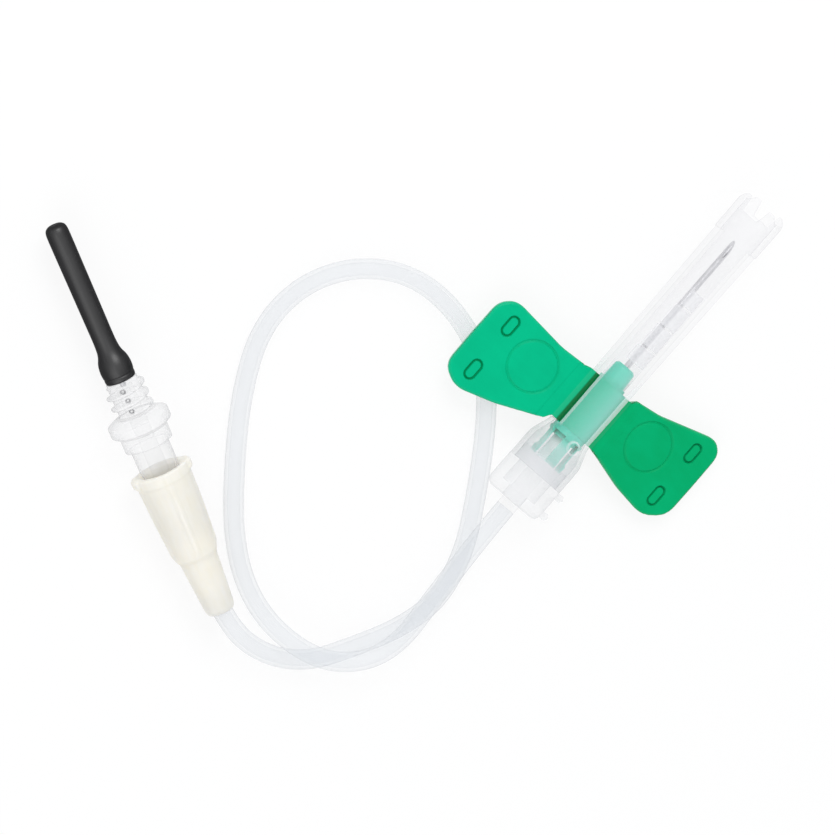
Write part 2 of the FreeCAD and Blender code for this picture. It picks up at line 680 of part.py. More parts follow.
def make_luer_hub():
    """The clear adapter: luer cone, neck, flatted drum, collar, holder thread and sleeve spigot."""
    body = new_body("luer_hub")
    fit = "(Dims.luer_mouth_radius - Dims.luer_taper * Dims.mouth_recess_depth / 2 - Dims.seat_gap)"
    tip = f"({fit} - Dims.luer_taper * Dims.luer_engaged)"
    channel = f"({tip} - Dims.luer_wall)"
    needle_hole = "(Dims.rear_needle_radius + Dims.seat_gap)"
    seat = f"({SPIGOT_END} - Dims.rear_needle_seat)"
    crest = "(Dims.thread_core_radius + Dims.thread_height)"
    profile = [
        (LUER_TIP, channel),
        (LUER_TIP, tip),
        (f"{MOUTH} - Dims.mouth_recess_depth", fit),
        (f"{MOUTH} + Dims.shoulder_length", "Dims.neck_radius"),
        (NECK_END, "Dims.neck_radius"),
        (NECK_END, "Dims.drum_radius"),
        (DRUM_END, "Dims.drum_radius"),
        (f"{DRUM_END} + Dims.collar_bevel", "Dims.adapter_collar_radius"),
        (f"{COLLAR_END} - Dims.collar_bevel", "Dims.adapter_collar_radius"),
        (COLLAR_END, "Dims.adapter_collar_radius - 2 * Dims.collar_bevel"),
        (COLLAR_END, "Dims.thread_core_radius"),
    ]
    for turn_number in range(int(SIZES["thread_count"])):
        foot = f"({COLLAR_END} + {turn_number + 0.35} * Dims.thread_pitch)"
        profile += [
            (foot, "Dims.thread_core_radius"),
            (f"{foot} + 0.22 * Dims.thread_pitch", crest),
            (f"{foot} + 0.42 * Dims.thread_pitch", crest),
            (f"{foot} + 0.64 * Dims.thread_pitch", "Dims.thread_core_radius"),
        ]
    profile += [
        (THREAD_END, "Dims.thread_core_radius"),
        (THREAD_END, "Dims.spigot_radius"),
        (f"{THREAD_END} + 0.55 * Dims.spigot_length", "Dims.spigot_radius"),
        (f"{THREAD_END} + 0.6 * Dims.spigot_length", "Dims.spigot_radius + Dims.spigot_barb"),
        (SPIGOT_END, "Dims.spigot_radius - Dims.spigot_tip_chamfer"),
        (SPIGOT_END, needle_hole),
        (seat, needle_hole),
        (seat, channel),
    ]
    turn(body, "adapter_wall", profile)
    flats = new_sketch(body, "drum_flats_outline", "YZ_Plane", lift=f"{NECK_END} - 0.01")
    for side in ("1", "-1"):
        draw_rectangle(flats, "-Dims.drum_radius - 1", "Dims.drum_radius + 1",
                       f"{side} * Dims.drum_flat", f"{side} * (Dims.drum_radius + 1)")
    cut_up(body, "drum_flats", flats, "Dims.drum_length + 0.01")
    return body


def make_rubber_sleeve():
    """The closed rubber sleeve over the rear needle, flared where it grips the adapter's spigot."""
    body = new_body("rubber_sleeve")
    base = f"({THREAD_END} + Dims.seat_gap)"
    tip = f"({base} + Dims.sleeve_length)"
    spigot = "(Dims.spigot_radius + Dims.spigot_barb + Dims.seat_gap)"
    turn(body, "sleeve_wall", [
        (base, "Dims.spigot_radius + Dims.seat_gap"),
        (base, "Dims.sleeve_rim_radius"),
        (f"{base} + 0.35 * Dims.sleeve_flare", "Dims.sleeve_base_radius"),
        (f"{base} + 0.6 * Dims.sleeve_flare", "Dims.sleeve_base_radius - Dims.sleeve_step"),
        (f"{base} + 0.85 * Dims.sleeve_flare", "Dims.sleeve_radius + Dims.sleeve_step"),
        (f"{base} + 1.15 * Dims.sleeve_flare", "Dims.sleeve_radius"),
        (f"{tip} - Dims.sleeve_tip_length", "Dims.sleeve_tip_radius"),
        (f"{tip} - 0.9 * Dims.sleeve_tip_round", "Dims.sleeve_tip_radius - 0.05 * Dims.sleeve_tip_round"),
        (f"{tip} - 0.3 * Dims.sleeve_tip_round", "Dims.sleeve_tip_radius - 0.4 * Dims.sleeve_tip_round"),
        (tip, "Dims.sleeve_tip_radius - Dims.sleeve_tip_round"),
        (tip, "0"),
        (f"{tip} - Dims.sleeve_tip_wall", "0"),
        (f"{tip} - Dims.sleeve_tip_wall", "Dims.sleeve_bore_radius"),
        (f"{SPIGOT_END} + Dims.spigot_radius / 2", "Dims.sleeve_bore_radius"),
        (f"{SPIGOT_END} + Dims.running_gap", "Dims.spigot_radius"),
        (f"{THREAD_END} + 0.62 * Dims.spigot_length", spigot),
        (f"{THREAD_END} + 0.5 * Dims.spigot_length", spigot),
        (f"{THREAD_END} + 0.4 * Dims.spigot_length", "Dims.spigot_radius + Dims.seat_gap"),
    ])
    return body


def rounded_path(points):
    """A wire of straight runs joined by tangent arcs, and the arcs' radii.

    Each arc takes 0.45 of the shorter of its two runs.
    """
    edges, radii = [], []
    place = points[0]
    for before, corner, after in zip(points, points[1:], points[2:]):
        back, ahead = (before - corner), (after - corner)
        cut = 0.45 * min(back.Length, ahead.Length)
        back.normalize()
        ahead.normalize()
        half_turn = (math.pi - back.getAngle(ahead)) / 2
        radius = cut / math.tan(half_turn)
        start, stop = corner + back * cut, corner + ahead * cut
        inward = back + ahead
        inward.normalize()
        middle = corner + inward * (radius / math.cos(half_turn) - radius)
        edges.append(Part.LineSegment(place, start).toShape())
        edges.append(Part.Arc(start, middle, stop).toShape())
        radii.append(radius)
        place = stop
    edges.append(Part.LineSegment(place, points[-1]).toShape())
    return Part.Wire(edges), radii


def make_tube():
    """The soft tube along its route, from the hub's socket to the connector's seat."""
    points = [V(*p) for p in TUBE_ROUTE]
    for along in ("-Dims.tube_lead", "Dims.connector_seat - Dims.seat_gap"):
        points.append(CONNECTOR_END + ADAPTER_DIRECTION * size(along))
    path, radii = rounded_path(points)
    radius = size("Dims.tube_radius")
    section = Part.Wire(Part.Circle(points[0], points[1] - points[0], radius).toShape())
    feature = doc.addObject("Part::Feature", "tube")
    feature.Label = "tube"
    feature.Shape = path.makePipeShell([section], True, False)
    share = feature.Shape.Volume / (math.pi * radius**2 * path.Length)
    print("tube length", round(path.Length, 2), "volume share", round(share, 5))
    print("tube radii", [round(r, 1) for r in radii])
    return feature


def place_all():
    """Put every sub-part at its place in the set's frame."""
    for body in (shield, end_cap, needle_hub, wing_saddle, needle):
        body.Placement = FreeCAD.Placement(V(0, 0, AXIS_HEIGHT), FreeCAD.Rotation())
    hinge_height = AXIS_HEIGHT - size("Dims.wing_thickness / 2 - Dims.hinge_web / 2")
    for body, side in ((left_wing, 1), (right_wing, -1)):
        hinge = V(size(SADDLE_REAR), side * size("Dims.hinge_side"), hinge_height)
        droop = -side * size(f"Dims.{body.Label}_droop")
        body.Placement = FreeCAD.Placement(hinge, FreeCAD.Rotation(X_AXIS, droop))
    for body in (female_luer, luer_hub, rear_needle, rubber_sleeve):
        body.Placement = FreeCAD.Placement(CONNECTOR_END, FreeCAD.Rotation(Z_AXIS, ADAPTER_ANGLE))


shield = make_shield()
end_cap = make_end_cap()
needle_hub = make_needle_hub()
wing_saddle = make_saddle()
left_wing = make_wing("left_wing", 1)
right_wing = make_wing("right_wing", -1)
needle = make_needle("needle", f"({NOSE_TIP} - Dims.needle_seat)",
                     "(Dims.needle_seat + Dims.needle_exposed)",
                     "Dims.needle_radius", "Dims.needle_bore")
female_luer = make_female_luer()
luer_hub = make_luer_hub()
rear_needle = make_needle("rear_needle", f"({SPIGOT_END} - Dims.rear_needle_seat)",
                          "(Dims.rear_needle_seat + Dims.rear_needle_length)",
                          "Dims.rear_needle_radius", "Dims.rear_needle_bore")
rubber_sleeve = make_rubber_sleeve()
tube = make_tube()
doc.recompute()
place_all()
doc.recompute()

SUB_PARTS = [shield, end_cap, needle_hub, wing_saddle, left_wing, right_wing, needle,
             tube, female_luer, luer_hub, rear_needle, rubber_sleeve]

for item in doc.Objects:
    if "Invalid" in item.State or "Error" in item.State:
        raise RuntimeError(f"{item.Name} failed: {item.State}")
for item in SUB_PARTS:
    if item.Shape.isNull() or not item.Shape.isValid() or not item.Shape.Solids:
        raise RuntimeError(f"{item.Label} has no valid solid")

os.makedirs("parts", exist_ok=True)
for item in SUB_PARTS:
    item.Shape.exportStep(f"parts/{item.Label}.step")
    box = item.Shape.BoundBox
    print(item.Label, len(item.Shape.Solids), round(item.Shape.Volume, 2),
          [round(x, 2) for x in (box.XMin, box.YMin, box.ZMin, box.XMax, box.YMax, box.ZMax)])
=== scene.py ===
"""Looks of a winged blood collection needle in its sliding clear shield, with its soft tube,
luer connector, adapter and rubber sleeved rear needle.

Shapes are worked out in millimetres and put into their meshes in metres. The shield's axis runs
along X at a height of AXIS_HEIGHT; the connector and the adapter share a second axis on the table.
A shape is worked out about its own X axis, and on_shield or on_adapter then puts it in its place.
"""

import math

import bmesh
import bpy
import numpy as np
from mathutils import Matrix


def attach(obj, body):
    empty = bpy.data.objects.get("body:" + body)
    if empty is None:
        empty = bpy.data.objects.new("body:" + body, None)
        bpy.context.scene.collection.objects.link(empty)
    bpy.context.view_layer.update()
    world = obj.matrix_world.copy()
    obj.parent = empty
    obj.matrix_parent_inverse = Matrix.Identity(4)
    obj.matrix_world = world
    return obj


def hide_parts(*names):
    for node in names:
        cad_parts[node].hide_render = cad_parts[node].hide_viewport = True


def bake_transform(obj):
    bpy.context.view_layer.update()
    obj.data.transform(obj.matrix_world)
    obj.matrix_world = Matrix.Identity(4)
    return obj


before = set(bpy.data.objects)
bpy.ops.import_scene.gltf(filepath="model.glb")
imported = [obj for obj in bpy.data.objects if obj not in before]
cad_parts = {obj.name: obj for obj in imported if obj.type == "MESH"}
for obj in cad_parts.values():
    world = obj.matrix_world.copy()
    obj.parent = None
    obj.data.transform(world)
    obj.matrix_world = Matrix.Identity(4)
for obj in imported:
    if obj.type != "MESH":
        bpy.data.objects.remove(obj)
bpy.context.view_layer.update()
scene = bpy.context.scene

MM = 0.001
TINY = 0.01

# The shield's axis: its height, and the stations along it
AXIS_HEIGHT = 4.15
REAR, SEAM, SHOULDER, BARREL, FRONT = -24.8, -20.0, -16.1, -13.4, 24.8
SADDLE_REAR, HUB_REAR = -13.1, -14.62
SLOT_REAR, SLOT_FRONT, HALF_SLOT = -13.25, 18.85, 1.9
HINGE_SIDE, HINGE_HEIGHT = 4.3, 3.8

# The adapter's axis: where it starts, which way it runs, and the stations along it
CONNECTOR_END = np.array([-59.16, 19.36, 4.0])
ADAPTER_ANGLE = math.radians(64.6)
MOUTH = 20.1
LUER_TIP = 12.5
NECK_END, DRUM_END, COLLAR_END = 23.6, 25.5, 28.0
THREAD_PITCH, THREAD_END = 1.45, 32.64
SPIGOT_END = 35.24

# The tube's route, the same points as the solid tube's
TUBE_ROUTE = [
    (-12.42, 0.0, 4.15), (-26.2, 0.0, 4.15), (-40.3, -0.7, 4.3), (-47.6, -1.3, 4.35),
    (-52.3, 0.5, 4.35), (-55.6, 4.5, 4.35), (-56.7, 9.7, 4.2), (-56.3, 14.8, 2.6),
    (-54.2, 19.7, 1.5), (-50.3, 24.6, 1.35), (-44.4, 29.7, 1.35), (-37.2, 35.0, 1.35),
    (-29.6, 38.8, 1.35), (-22.6, 38.9, 1.35), (-16.6, 36.0, 1.35), (-12.4, 30.9, 1.35),
    (-10.9, 24.9, 1.35), (-11.9, 18.2, 1.35), (-14.9, 12.3, 1.35), (-20.1, 7.7, 1.35),
    (-26.8, 3.2, 1.35), (-33.6, -0.8, 1.35), (-40.4, -2.4, 1.35), (-46.2, -1.0, 1.35),
    (-51.8, 2.0, 1.35), (-57.2, 5.4, 1.45), (-60.08, 10.7, 2.6), (-60.232, 17.102, 4.0),
    (-57.882, 22.052, 4.0),
]
TUBE_RADIUS, BORE_RADIUS = 1.3, 0.82


# Camera, leaning from straight above towards the left wing, as in the photograph

PICTURE_MIDDLE, PICTURE_WIDTH = (-24.56, 16.585, AXIS_HEIGHT), 105.4
CAMERA_TILT, CAMERA_TURN = 17.0, -49.0


def add_camera(middle, tilt, turn, width, lens=200.0, sensor=36.0):
    """A camera aimed down on middle, width millimetres wide there, leaning towards +Y by tilt.

    The turn is about its own line of sight and sets the shield's axis at a slant in the picture.
    """
    camera = bpy.data.cameras.new("camera")
    camera.lens, camera.sensor_width = lens, sensor
    camera.clip_start, camera.clip_end = 0.01, 10.0
    viewer = bpy.data.objects.new("camera", camera)
    tilt, turn = math.radians(tilt), math.radians(turn)
    away = np.array([0, math.sin(tilt), math.cos(tilt)]) * width * lens / sensor
    viewer.location = (np.array(middle) + away) * MM
    viewer.rotation_euler = (Matrix.Rotation(-tilt, 3, "X") @ Matrix.Rotation(turn, 3, "Z")).to_euler()
    scene.collection.objects.link(viewer)
    scene.camera = viewer


add_camera(PICTURE_MIDDLE, CAMERA_TILT, CAMERA_TURN, PICTURE_WIDTH)


# Mesh building

def piece(name, points, faces, finish, crisp=35.0, marks=None):
    """A mesh object from points in millimetres; doubles are merged and faces point outwards.

    Edges that turn by more than crisp degrees stay sharp. Marks are named numbers, one for each
    point, that the finish can read.
    """
    mesh = bpy.data.meshes.new(name)
    mesh.from_pydata(np.asarray(points, float) * MM, [], faces)
    for label, values in (marks or {}).items():
        stored = mesh.attributes.new(label, "FLOAT", "POINT")
        stored.data.foreach_set("value", np.asarray(values, np.float32))
    shape = bmesh.new()
    shape.from_mesh(mesh)
    bmesh.ops.remove_doubles(shape, verts=shape.verts, dist=1e-7)
    bmesh.ops.recalc_face_normals(shape, faces=shape.faces)
    shape.to_mesh(mesh)
    shape.free()
    mesh.shade_smooth()
    mesh.set_sharp_from_angle(angle=math.radians(crisp))
    mesh.materials.append(finish)
    made = bpy.data.objects.new(name, mesh)
    scene.collection.objects.link(made)
    return made


def quads(rows, columns, close_rows=False, close_columns=True):
    """Faces between the neighbours of a rows by columns grid of points, numbered row by row."""
    r = np.arange(rows if close_rows else rows - 1)[:, None]
    c = np.arange(columns if close_columns else columns - 1)[None, :]

    def number(i, j):
        return (i % rows) * columns + j % columns

    corners = [number(r, c), number(r + 1, c), number(r + 1, c + 1), number(r, c + 1)]
    return np.stack(np.broadcast_arrays(*corners), -1).reshape(-1, 4)


def plate_faces(rows, columns):
    """Faces of a plate: a grid for its top, then one for its bottom, and a wall round their rims."""
    count = rows * columns
    faces = quads(rows, columns, close_columns=False)
    number = np.arange(count).reshape(rows, columns)
    rim = np.concatenate([number[0], number[1:, -1], number[-1, -2::-1], number[-2:0:-1, 0]])
    ahead = np.roll(rim, -1)
    wall = np.stack([rim, ahead, ahead + count, rim + count], 1)
    return np.concatenate([faces, faces + count, wall])


def smoothstep(x, low, high):
    """0 below low, 1 above high, and 3t^2 - 2t^3 of the share t between them."""
    t = np.clip((x - low) / (high - low), 0, 1)
    return t * t * (3 - 2 * t)


def rounded(corners, cut, steps=6):
    """The line with each inner corner replaced by a parabola that starts and ends cut away from it.

    A point at share t of the parabola is corner + a(1 - t)^2 + b t^2, where a and b lead from the
    corner to the parabola's ends. No cut takes more than 0.45 of an edge.
    """
    p = np.asarray(corners, float)
    cut = np.broadcast_to(np.asarray(cut, float), len(p))[:, None]
    back, ahead = np.roll(p, 1, 0) - p, np.roll(p, -1, 0) - p
    long_back, long_ahead = (np.linalg.norm(v, axis=1, keepdims=True) for v in (back, ahead))
    a = back / long_back * np.minimum(cut, 0.45 * long_back)
    b = ahead / long_ahead * np.minimum(cut, 0.45 * long_ahead)
    a[[0, -1]] = b[[0, -1]] = 0
    t = np.linspace(0, 1, steps)[None, :, None]
    return (p[:, None] + a[:, None] * (1 - t) ** 2 + b[:, None] * t ** 2).reshape(-1, p.shape[1])


def refined(line, spacing):
    """A line's points with more of them between, no further than spacing apart along the line."""
    gaps = np.linalg.norm(np.diff(line, axis=0), axis=1)
    along = np.concatenate([[0], np.cumsum(gaps)])
    counts = np.maximum(1, np.ceil(gaps / spacing).astype(int))
    starts = np.repeat(along[:-1], counts)
    shares = np.concatenate([np.arange(n) / n for n in counts]) * np.repeat(gaps, counts)
    places = np.append(starts + shares, along[-1])
    return np.stack([np.interp(places, along, line[:, k]) for k in range(line.shape[1])], 1)


def on_shield(points):
    """Points about the shield's X axis, lifted to its height."""
    return points + np.array([0, 0, AXIS_HEIGHT])


def on_adapter(points):
    """Points about the adapter's own X axis, turned and moved onto its place on the table."""
    c, s = math.cos(ADAPTER_ANGLE), math.sin(ADAPTER_ANGLE)
    return points @ np.array([[c, s, 0], [-s, c, 0], [0, 0, 1]]) + CONNECTOR_END


def turned(profile, around, relief=None):
    """A closed (station, radius) profile turned about X, as points and faces.

    A point at angle a is (station, r cos a, r sin a), where r is the radius, changed by
    relief(station, radius, a) if one is given.
    """
    angle = np.linspace(0, 2 * np.pi, around, endpoint=False)[None, :]
    station, radius = (profile[:, k:k + 1] + 0 * angle for k in (0, 1))
    if relief is not None:
        radius = relief(station, radius, angle)
    points = np.stack([station, radius * np.cos(angle), radius * np.sin(angle)], -1).reshape(-1, 3)
    return points, quads(len(profile), around, close_rows=True)


# Finishes

class Number:
    """A shader number. Its operators add Math nodes."""

    def __init__(self, nodes, socket):
        self.nodes, self.socket = nodes, socket

    def math(self, operation, *values):
        made = self.nodes.node("ShaderNodeMath", {"operation": operation}, dict(enumerate(values)))
        return Number(self.nodes, made.outputs[0])

    def __add__(self, other):
        return self.math("ADD", self, other)

    def __sub__(self, other):
        return self.math("SUBTRACT", self, other)

    def __rsub__(self, other):
        return self.math("SUBTRACT", other, self)

    def __mul__(self, other):
        return self.math("MULTIPLY", self, other)

    def __pow__(self, other):
        return self.math("POWER", self, other)

    __radd__, __rmul__ = __add__, __mul__

    def greater(self, other):
        """The greater of this number and another."""
        return self.math("MAXIMUM", self, other)

    def between(self, low, high, out_low=0.0, out_high=1.0):
        """This number carried smoothly from low..high to out_low..out_high."""
        made = self.nodes.node("ShaderNodeMapRange", {"interpolation_type": "SMOOTHSTEP"}, {
            "Value": self, "From Min": low, "From Max": high, "To Min": out_low, "To Max": out_high})
        return Number(self.nodes, made.outputs[0])


class Nodes:
    """A node tree that is filled through one method."""

    def __init__(self, tree):
        self.tree = tree
        tree.nodes.clear()

    def node(self, kind, settings, sockets):
        """A node of a kind, its settings first, then the values or links of its sockets."""
        made = self.tree.nodes.new(kind)
        for key, value in settings.items():
            setattr(made, key, value)
        for key, value in sockets.items():
            self.join(value, made.inputs[key])
        return made

    def join(self, value, socket):
        """Links a number or a socket to a socket, or sets the socket's own value."""
        value = value.socket if isinstance(value, Number) else value
        if isinstance(value, bpy.types.NodeSocket):
            self.tree.links.new(value, socket)
        else:
            socket.default_value = value

    def seen_white(self, level):
        """The level where the eye, a reflection or a view through glass looks, and 0 for other light."""
        path = self.node("ShaderNodeLightPath", {}, {})
        eye, mirror, glass = (Number(self, path.outputs[name]) for name in (
            "Is Camera Ray", "Is Glossy Ray", "Is Transmission Ray"))
        return eye.greater(mirror).greater(glass) * level


class Finish(Nodes):
    """A node material round one Principled shader, whose even settings stand on its own sockets."""

    def __init__(self, name, **even):
        self.material = bpy.data.materials.new(name)
        self.material.use_nodes = True
        super().__init__(self.material.node_tree)
        self.shader = self.node("ShaderNodeBsdfPrincipled", {},
                                {key.replace("_", " "): value for key, value in even.items()})
        self.output = self.node("ShaderNodeOutputMaterial", {}, {"Surface": self.shader.outputs[0]})

    def drive(self, **sockets):
        """Feeds the shader's sockets with what changes over the surface."""
        for key, value in sockets.items():
            self.join(value, self.shader.inputs[key.replace("_", " ")])

    def mapped(self, vector, turn, stretch):
        """A vector turned and then stretched."""
        made = self.node("ShaderNodeMapping", {}, {"Vector": vector, "Rotation": turn, "Scale": stretch})
        return made.outputs[0]

    def place(self, stretch=(1, 1, 1), turn=0.0):
        """The point on the piece in millimetres, turned about the upright axis and then stretched."""
        point = self.node("ShaderNodeTexCoord", {}, {}).outputs["Object"]
        if turn:
            point = self.mapped(point, (0, 0, turn), (1, 1, 1))
        return self.mapped(point, (0, 0, 0), tuple(s / MM for s in stretch))

    def place_numbers(self):
        """The three coordinates of the point on the piece in millimetres."""
        parts = self.node("ShaderNodeSeparateXYZ", {}, {"Vector": self.place()})
        return tuple(Number(self, parts.outputs[axis]) for axis in "XYZ")

    def noise(self, size, detail=3.0, place=None):
        """Soft noise from 0 to 1 whose spots are about size millimetres across."""
        made = self.node("ShaderNodeTexNoise", {}, {
            "Vector": place or self.place(), "Scale": 1 / size, "Detail": detail, "Roughness": 0.55})
        return Number(self, made.outputs[0])

    def mark(self, label):
        """The number stored on the piece's points under a label."""
        made = self.node("ShaderNodeAttribute", {"attribute_name": label}, {})
        return Number(self, made.outputs["Fac"])

    def blend(self, share, a, b):
        """Colour a where share is 0 and colour b where it is 1."""
        made = self.node("ShaderNodeMix", {"data_type": "RGBA"}, {0: share, 6: a, 7: b})
        return made.outputs[2]

    def bump(self, height, depth):
        """A normal from a height of 0 to 1 that stands for depth millimetres."""
        return self.node("ShaderNodeBump", {}, {
            "Height": height, "Strength": 1.0, "Distance": depth * MM}).outputs[0]

    def let_through(self, share, tint):
        """Lets what is behind show through in a tint, by a share from 0, clear, to 1, solid."""
        clear = self.node("ShaderNodeBsdfTransparent", {}, {"Color": tint})
        made = self.node("ShaderNodeMixShader", {}, {
            0: share, 1: clear.outputs[0], 2: self.shader.outputs[0]})
        self.join(made.outputs[0], self.output.inputs["Surface"])

    def edge_on(self):
        """0 where the surface faces the eye and 1 where it is seen edge on."""
        made = self.node("ShaderNodeLayerWeight", {}, {"Blend": 0.5})
        return Number(self, made.outputs["Facing"])


def grey(level, blue=0.0):
    """A grey colour with a little more blue."""
    return (level, level, level + blue, 1)


def green_wing(name, dark, light):
    """Soft moulded wing plastic: slow cloudy shades, a fine matt texture and faint flow marks.

    Points marked as groove take a dark green of painted shade in the grooves of the ring and the studs, and
    points marked as edge are glossy.
    """
    f = Finish(name, Specular_IOR_Level=0.05, Coat_Roughness=0.2)
    # A dark green of painted shade for the grooves of the ring and the studs
    groove_shade = (0.0, 0.24, 0.085, 1)
    clouds, grain = f.noise(5.0, 2.0), f.noise(0.12, 2.0)
    flow = f.noise(1.1, 3.0, f.place((1, 0.25, 1)))
    shade = clouds.between(0.3, 0.7) * 0.7 + flow.between(0.35, 0.65) * 0.3
    f.drive(Base_Color=f.blend(f.mark("groove"), f.blend(shade, dark, light), groove_shade),
            Roughness=0.36 + grain * 0.1, Coat_Weight=f.mark("edge") * 0.9,
            Normal=f.bump(grain * 0.6 + flow * 0.4, 0.008))
    return f.material


def green_hub(name):
    """The hub's bright green plastic, with painted light: paler towards the right side, a painted
    reflection, and near white on the latch arm below the axis, painted light against the shade it lies in.
    """
    f = Finish(name, Specular_IOR_Level=0.5)
    # right is paler than left: painted light on the hub's right side and painted shade on its left
    right, left = (0.2, 0.72, 0.58, 1), (0.02, 0.56, 0.4, 1)
    # The near white of the arm below the axis is painted light against the shade it lies in
    low_arm_painted_light, high_arm = (0.8, 0.95, 0.92, 1), (0.1, 0.6, 0.48, 1)
    along, sideways, height = f.place_numbers()
    grain = f.noise(0.12, 2.0)
    body = f.blend(sideways.between(-2.2, 2.0), right, left)
    arms = f.blend(height.between(2.0, 3.6), low_arm_painted_light, high_arm)
    f.drive(Base_Color=f.blend(along.between(-15.4, -14.2), arms, body),
            Roughness=0.22 + grain * 0.1, Normal=f.bump(grain, 0.004))
    return f.material


def green_saddle(name):
    """The saddle's plastic: bright on the hub, wing green outside the shield and dark in the slot.

    The colours change with the distance from the shield's axis to the side. Across the hub the right side
    is painted paler and the left darker, painted light and shade; the right stub is painted darker than
    the left, painted shade as on the right wing; the dark band is painted shade in the groove along the
    left slot.
    """
    f = Finish(name, Specular_IOR_Level=0.3)
    # Paler right and darker left across the hub: painted light and shade
    hub_right_painted_light, hub_left = (0.2, 0.7, 0.56, 1), (0.01, 0.5, 0.32, 1)
    # The darker right stub is painted shade, as on the right wing
    stub_right_painted_shade, stub_left = (0.0, 0.37, 0.14, 1), (0.0, 0.46, 0.22, 1)
    # shaded: painted shade in the groove along the left slot
    shaded = (0.0, 0.16, 0.04, 1)
    sideways = f.place_numbers()[1]
    grain = f.noise(0.12, 2.0)
    outside = sideways.math("ABSOLUTE", sideways).between(2.5, 2.7)
    groove = sideways.between(2.1, 2.3) * sideways.between(2.65, 2.9, 1.0, 0.0)
    hub = f.blend(sideways.between(-2.2, 1.8), hub_right_painted_light, hub_left)
    stub = f.blend(sideways.between(-0.5, 0.5), stub_right_painted_shade, stub_left)
    f.drive(Base_Color=f.blend(groove, f.blend(outside, hub, stub), shaded),
            Roughness=0.3 + grain * 0.1, Normal=f.bump(grain, 0.006))
    return f.material


def clear_plastic(name, veil, outline_shade_veil, tint, haze, rim, roughness):
    """Thin clear moulded plastic: a faint milky veil that thickens where it is seen edge on, where its
    colour also darkens to the edge veil, painted shade along the outlines.

    Haze is the veil's share where the plastic faces the eye, and rim is what is added edge on.
    Points marked as inner wall have little of either, and points marked as milky have more. Points
    marked with the needle's refraction are dark: painted refraction of the needle seen through the thread.
    """
    f = Finish(name, Specular_IOR_Level=0.5, IOR=1.49)
    # dark: the colour of the painted refraction of the needle
    dark = grey(0.12, 0.01)
    cloud, edge, needle_refraction = f.noise(2.4, 2.0), f.edge_on() ** 3.0, f.mark("needle_refraction")
    share = haze * (cloud * 0.3 + 0.85) + edge * rim + f.mark("milky") * 0.6 + needle_refraction * 0.5
    # Edge on, the veil's colour darkens: painted shade along the outlines
    f.drive(Base_Color=f.blend(needle_refraction, f.blend(edge, veil, outline_shade_veil), dark),
            Roughness=roughness + cloud * 0.08, Normal=f.bump(cloud, 0.002))
    f.let_through(share * (1 - f.mark("inner_wall") * 0.85), tint)
    return f.material


def steel(name):
    """Drawn steel: fine lengthwise lines in its shine and a cool even grey."""
    f = Finish(name, Metallic=1.0)
    lines = f.noise(0.06, 3.0, f.place((0.02, 1, 1)))
    blotch = f.noise(1.4)
    f.drive(Base_Color=f.blend(blotch.between(0.3, 0.7), grey(0.56, 0.02), grey(0.68, 0.02)),
            Roughness=0.2 + lines * 0.18, Normal=f.bump(lines, 0.002))
    return f.material


def ivory(name):
    """Creamy connector plastic, a little see-through at depth, with long faint moulding streaks."""
    f = Finish(name, Specular_IOR_Level=0.3, Subsurface_Weight=0.6, Subsurface_Radius=(1.0, 0.92, 0.78),
               Subsurface_Scale=0.003)
    pale, cream = (0.86, 0.83, 0.76, 1), (0.83, 0.79, 0.69, 1)
    streak = f.noise(0.9, 3.0, f.place((0.12, 1, 1), -ADAPTER_ANGLE))
    cloud = f.noise(3.0, 2.0)
    warm = streak.between(0.3, 0.7) * 0.5 + cloud.between(0.3, 0.7) * 0.5
    f.drive(Base_Color=f.blend(warm, pale, cream), Roughness=0.36 + cloud * 0.14,
            Normal=f.bump(streak, 0.004))
    return f.material


def black_rubber(name):
    """Satin black rubber: gloss where it faces the eye, a little powder and long faint rub marks."""
    f = Finish(name, Specular_IOR_Level=0.05, Coat_Roughness=0.42, Coat_IOR=1.6)
    rub = f.noise(0.35, 3.0, f.place((0.08, 1, 1), -ADAPTER_ANGLE))
    dust = f.noise(0.18, 3.0)
    powder = (dust * 0.4 + rub * 0.6).between(0.45, 0.75)
    f.drive(Base_Color=f.blend(powder, grey(0.008, 0.001), grey(0.02, 0.002)),
            Roughness=0.5 + powder * 0.15, Coat_Weight=(1 - f.edge_on()) ** 4.0,
            Normal=f.bump(dust * 0.5 + rub * 0.5, 0.006))
    return f.material


# The second colour of each clear finish is its painted shade along the outlines
CLEAR = clear_plastic("clear_shield", grey(0.9, 0.02), grey(0.68, 0.02), grey(0.984, 0.002),
                      haze=0.06, rim=0.3, roughness=0.12)
CLEAR_CAP = clear_plastic("clear_cap", grey(0.96, 0.02), grey(0.8, 0.02), grey(0.988),
                          haze=0.16, rim=0.35, roughness=0.16)
FROSTED_STEPS = clear_plastic("frosted_steps", grey(0.9, 0.02), grey(0.7, 0.02), grey(0.98),
                              haze=0.28, rim=0.4, roughness=0.3)
CLEAR_ADAPTER = clear_plastic("clear_adapter", grey(0.93, 0.01), grey(0.45, 0.01), grey(0.985),
                              haze=0.2, rim=0.7, roughness=0.14)
CLEAR_TUBE = clear_plastic("clear_tube", (0.84, 0.86, 0.88, 1), (0.68, 0.7, 0.72, 1),
                           (0.972, 0.975, 0.979, 1), haze=0.14, rim=0.42, roughness=0.2)
# The tube inside the shield takes a paler, fainter copy of the tube's finish: painted light against the
# shade inside the shield
CLEAR_TUBE_INSIDE = clear_plastic("clear_tube_inside", grey(0.9, 0.02), grey(0.8, 0.02), grey(0.99),
                                  haze=0.04, rim=0.12, roughness=0.2)
GREEN_LEFT = green_wing("green_wing", (0.0, 0.44, 0.215, 1), (0.0, 0.48, 0.235, 1))
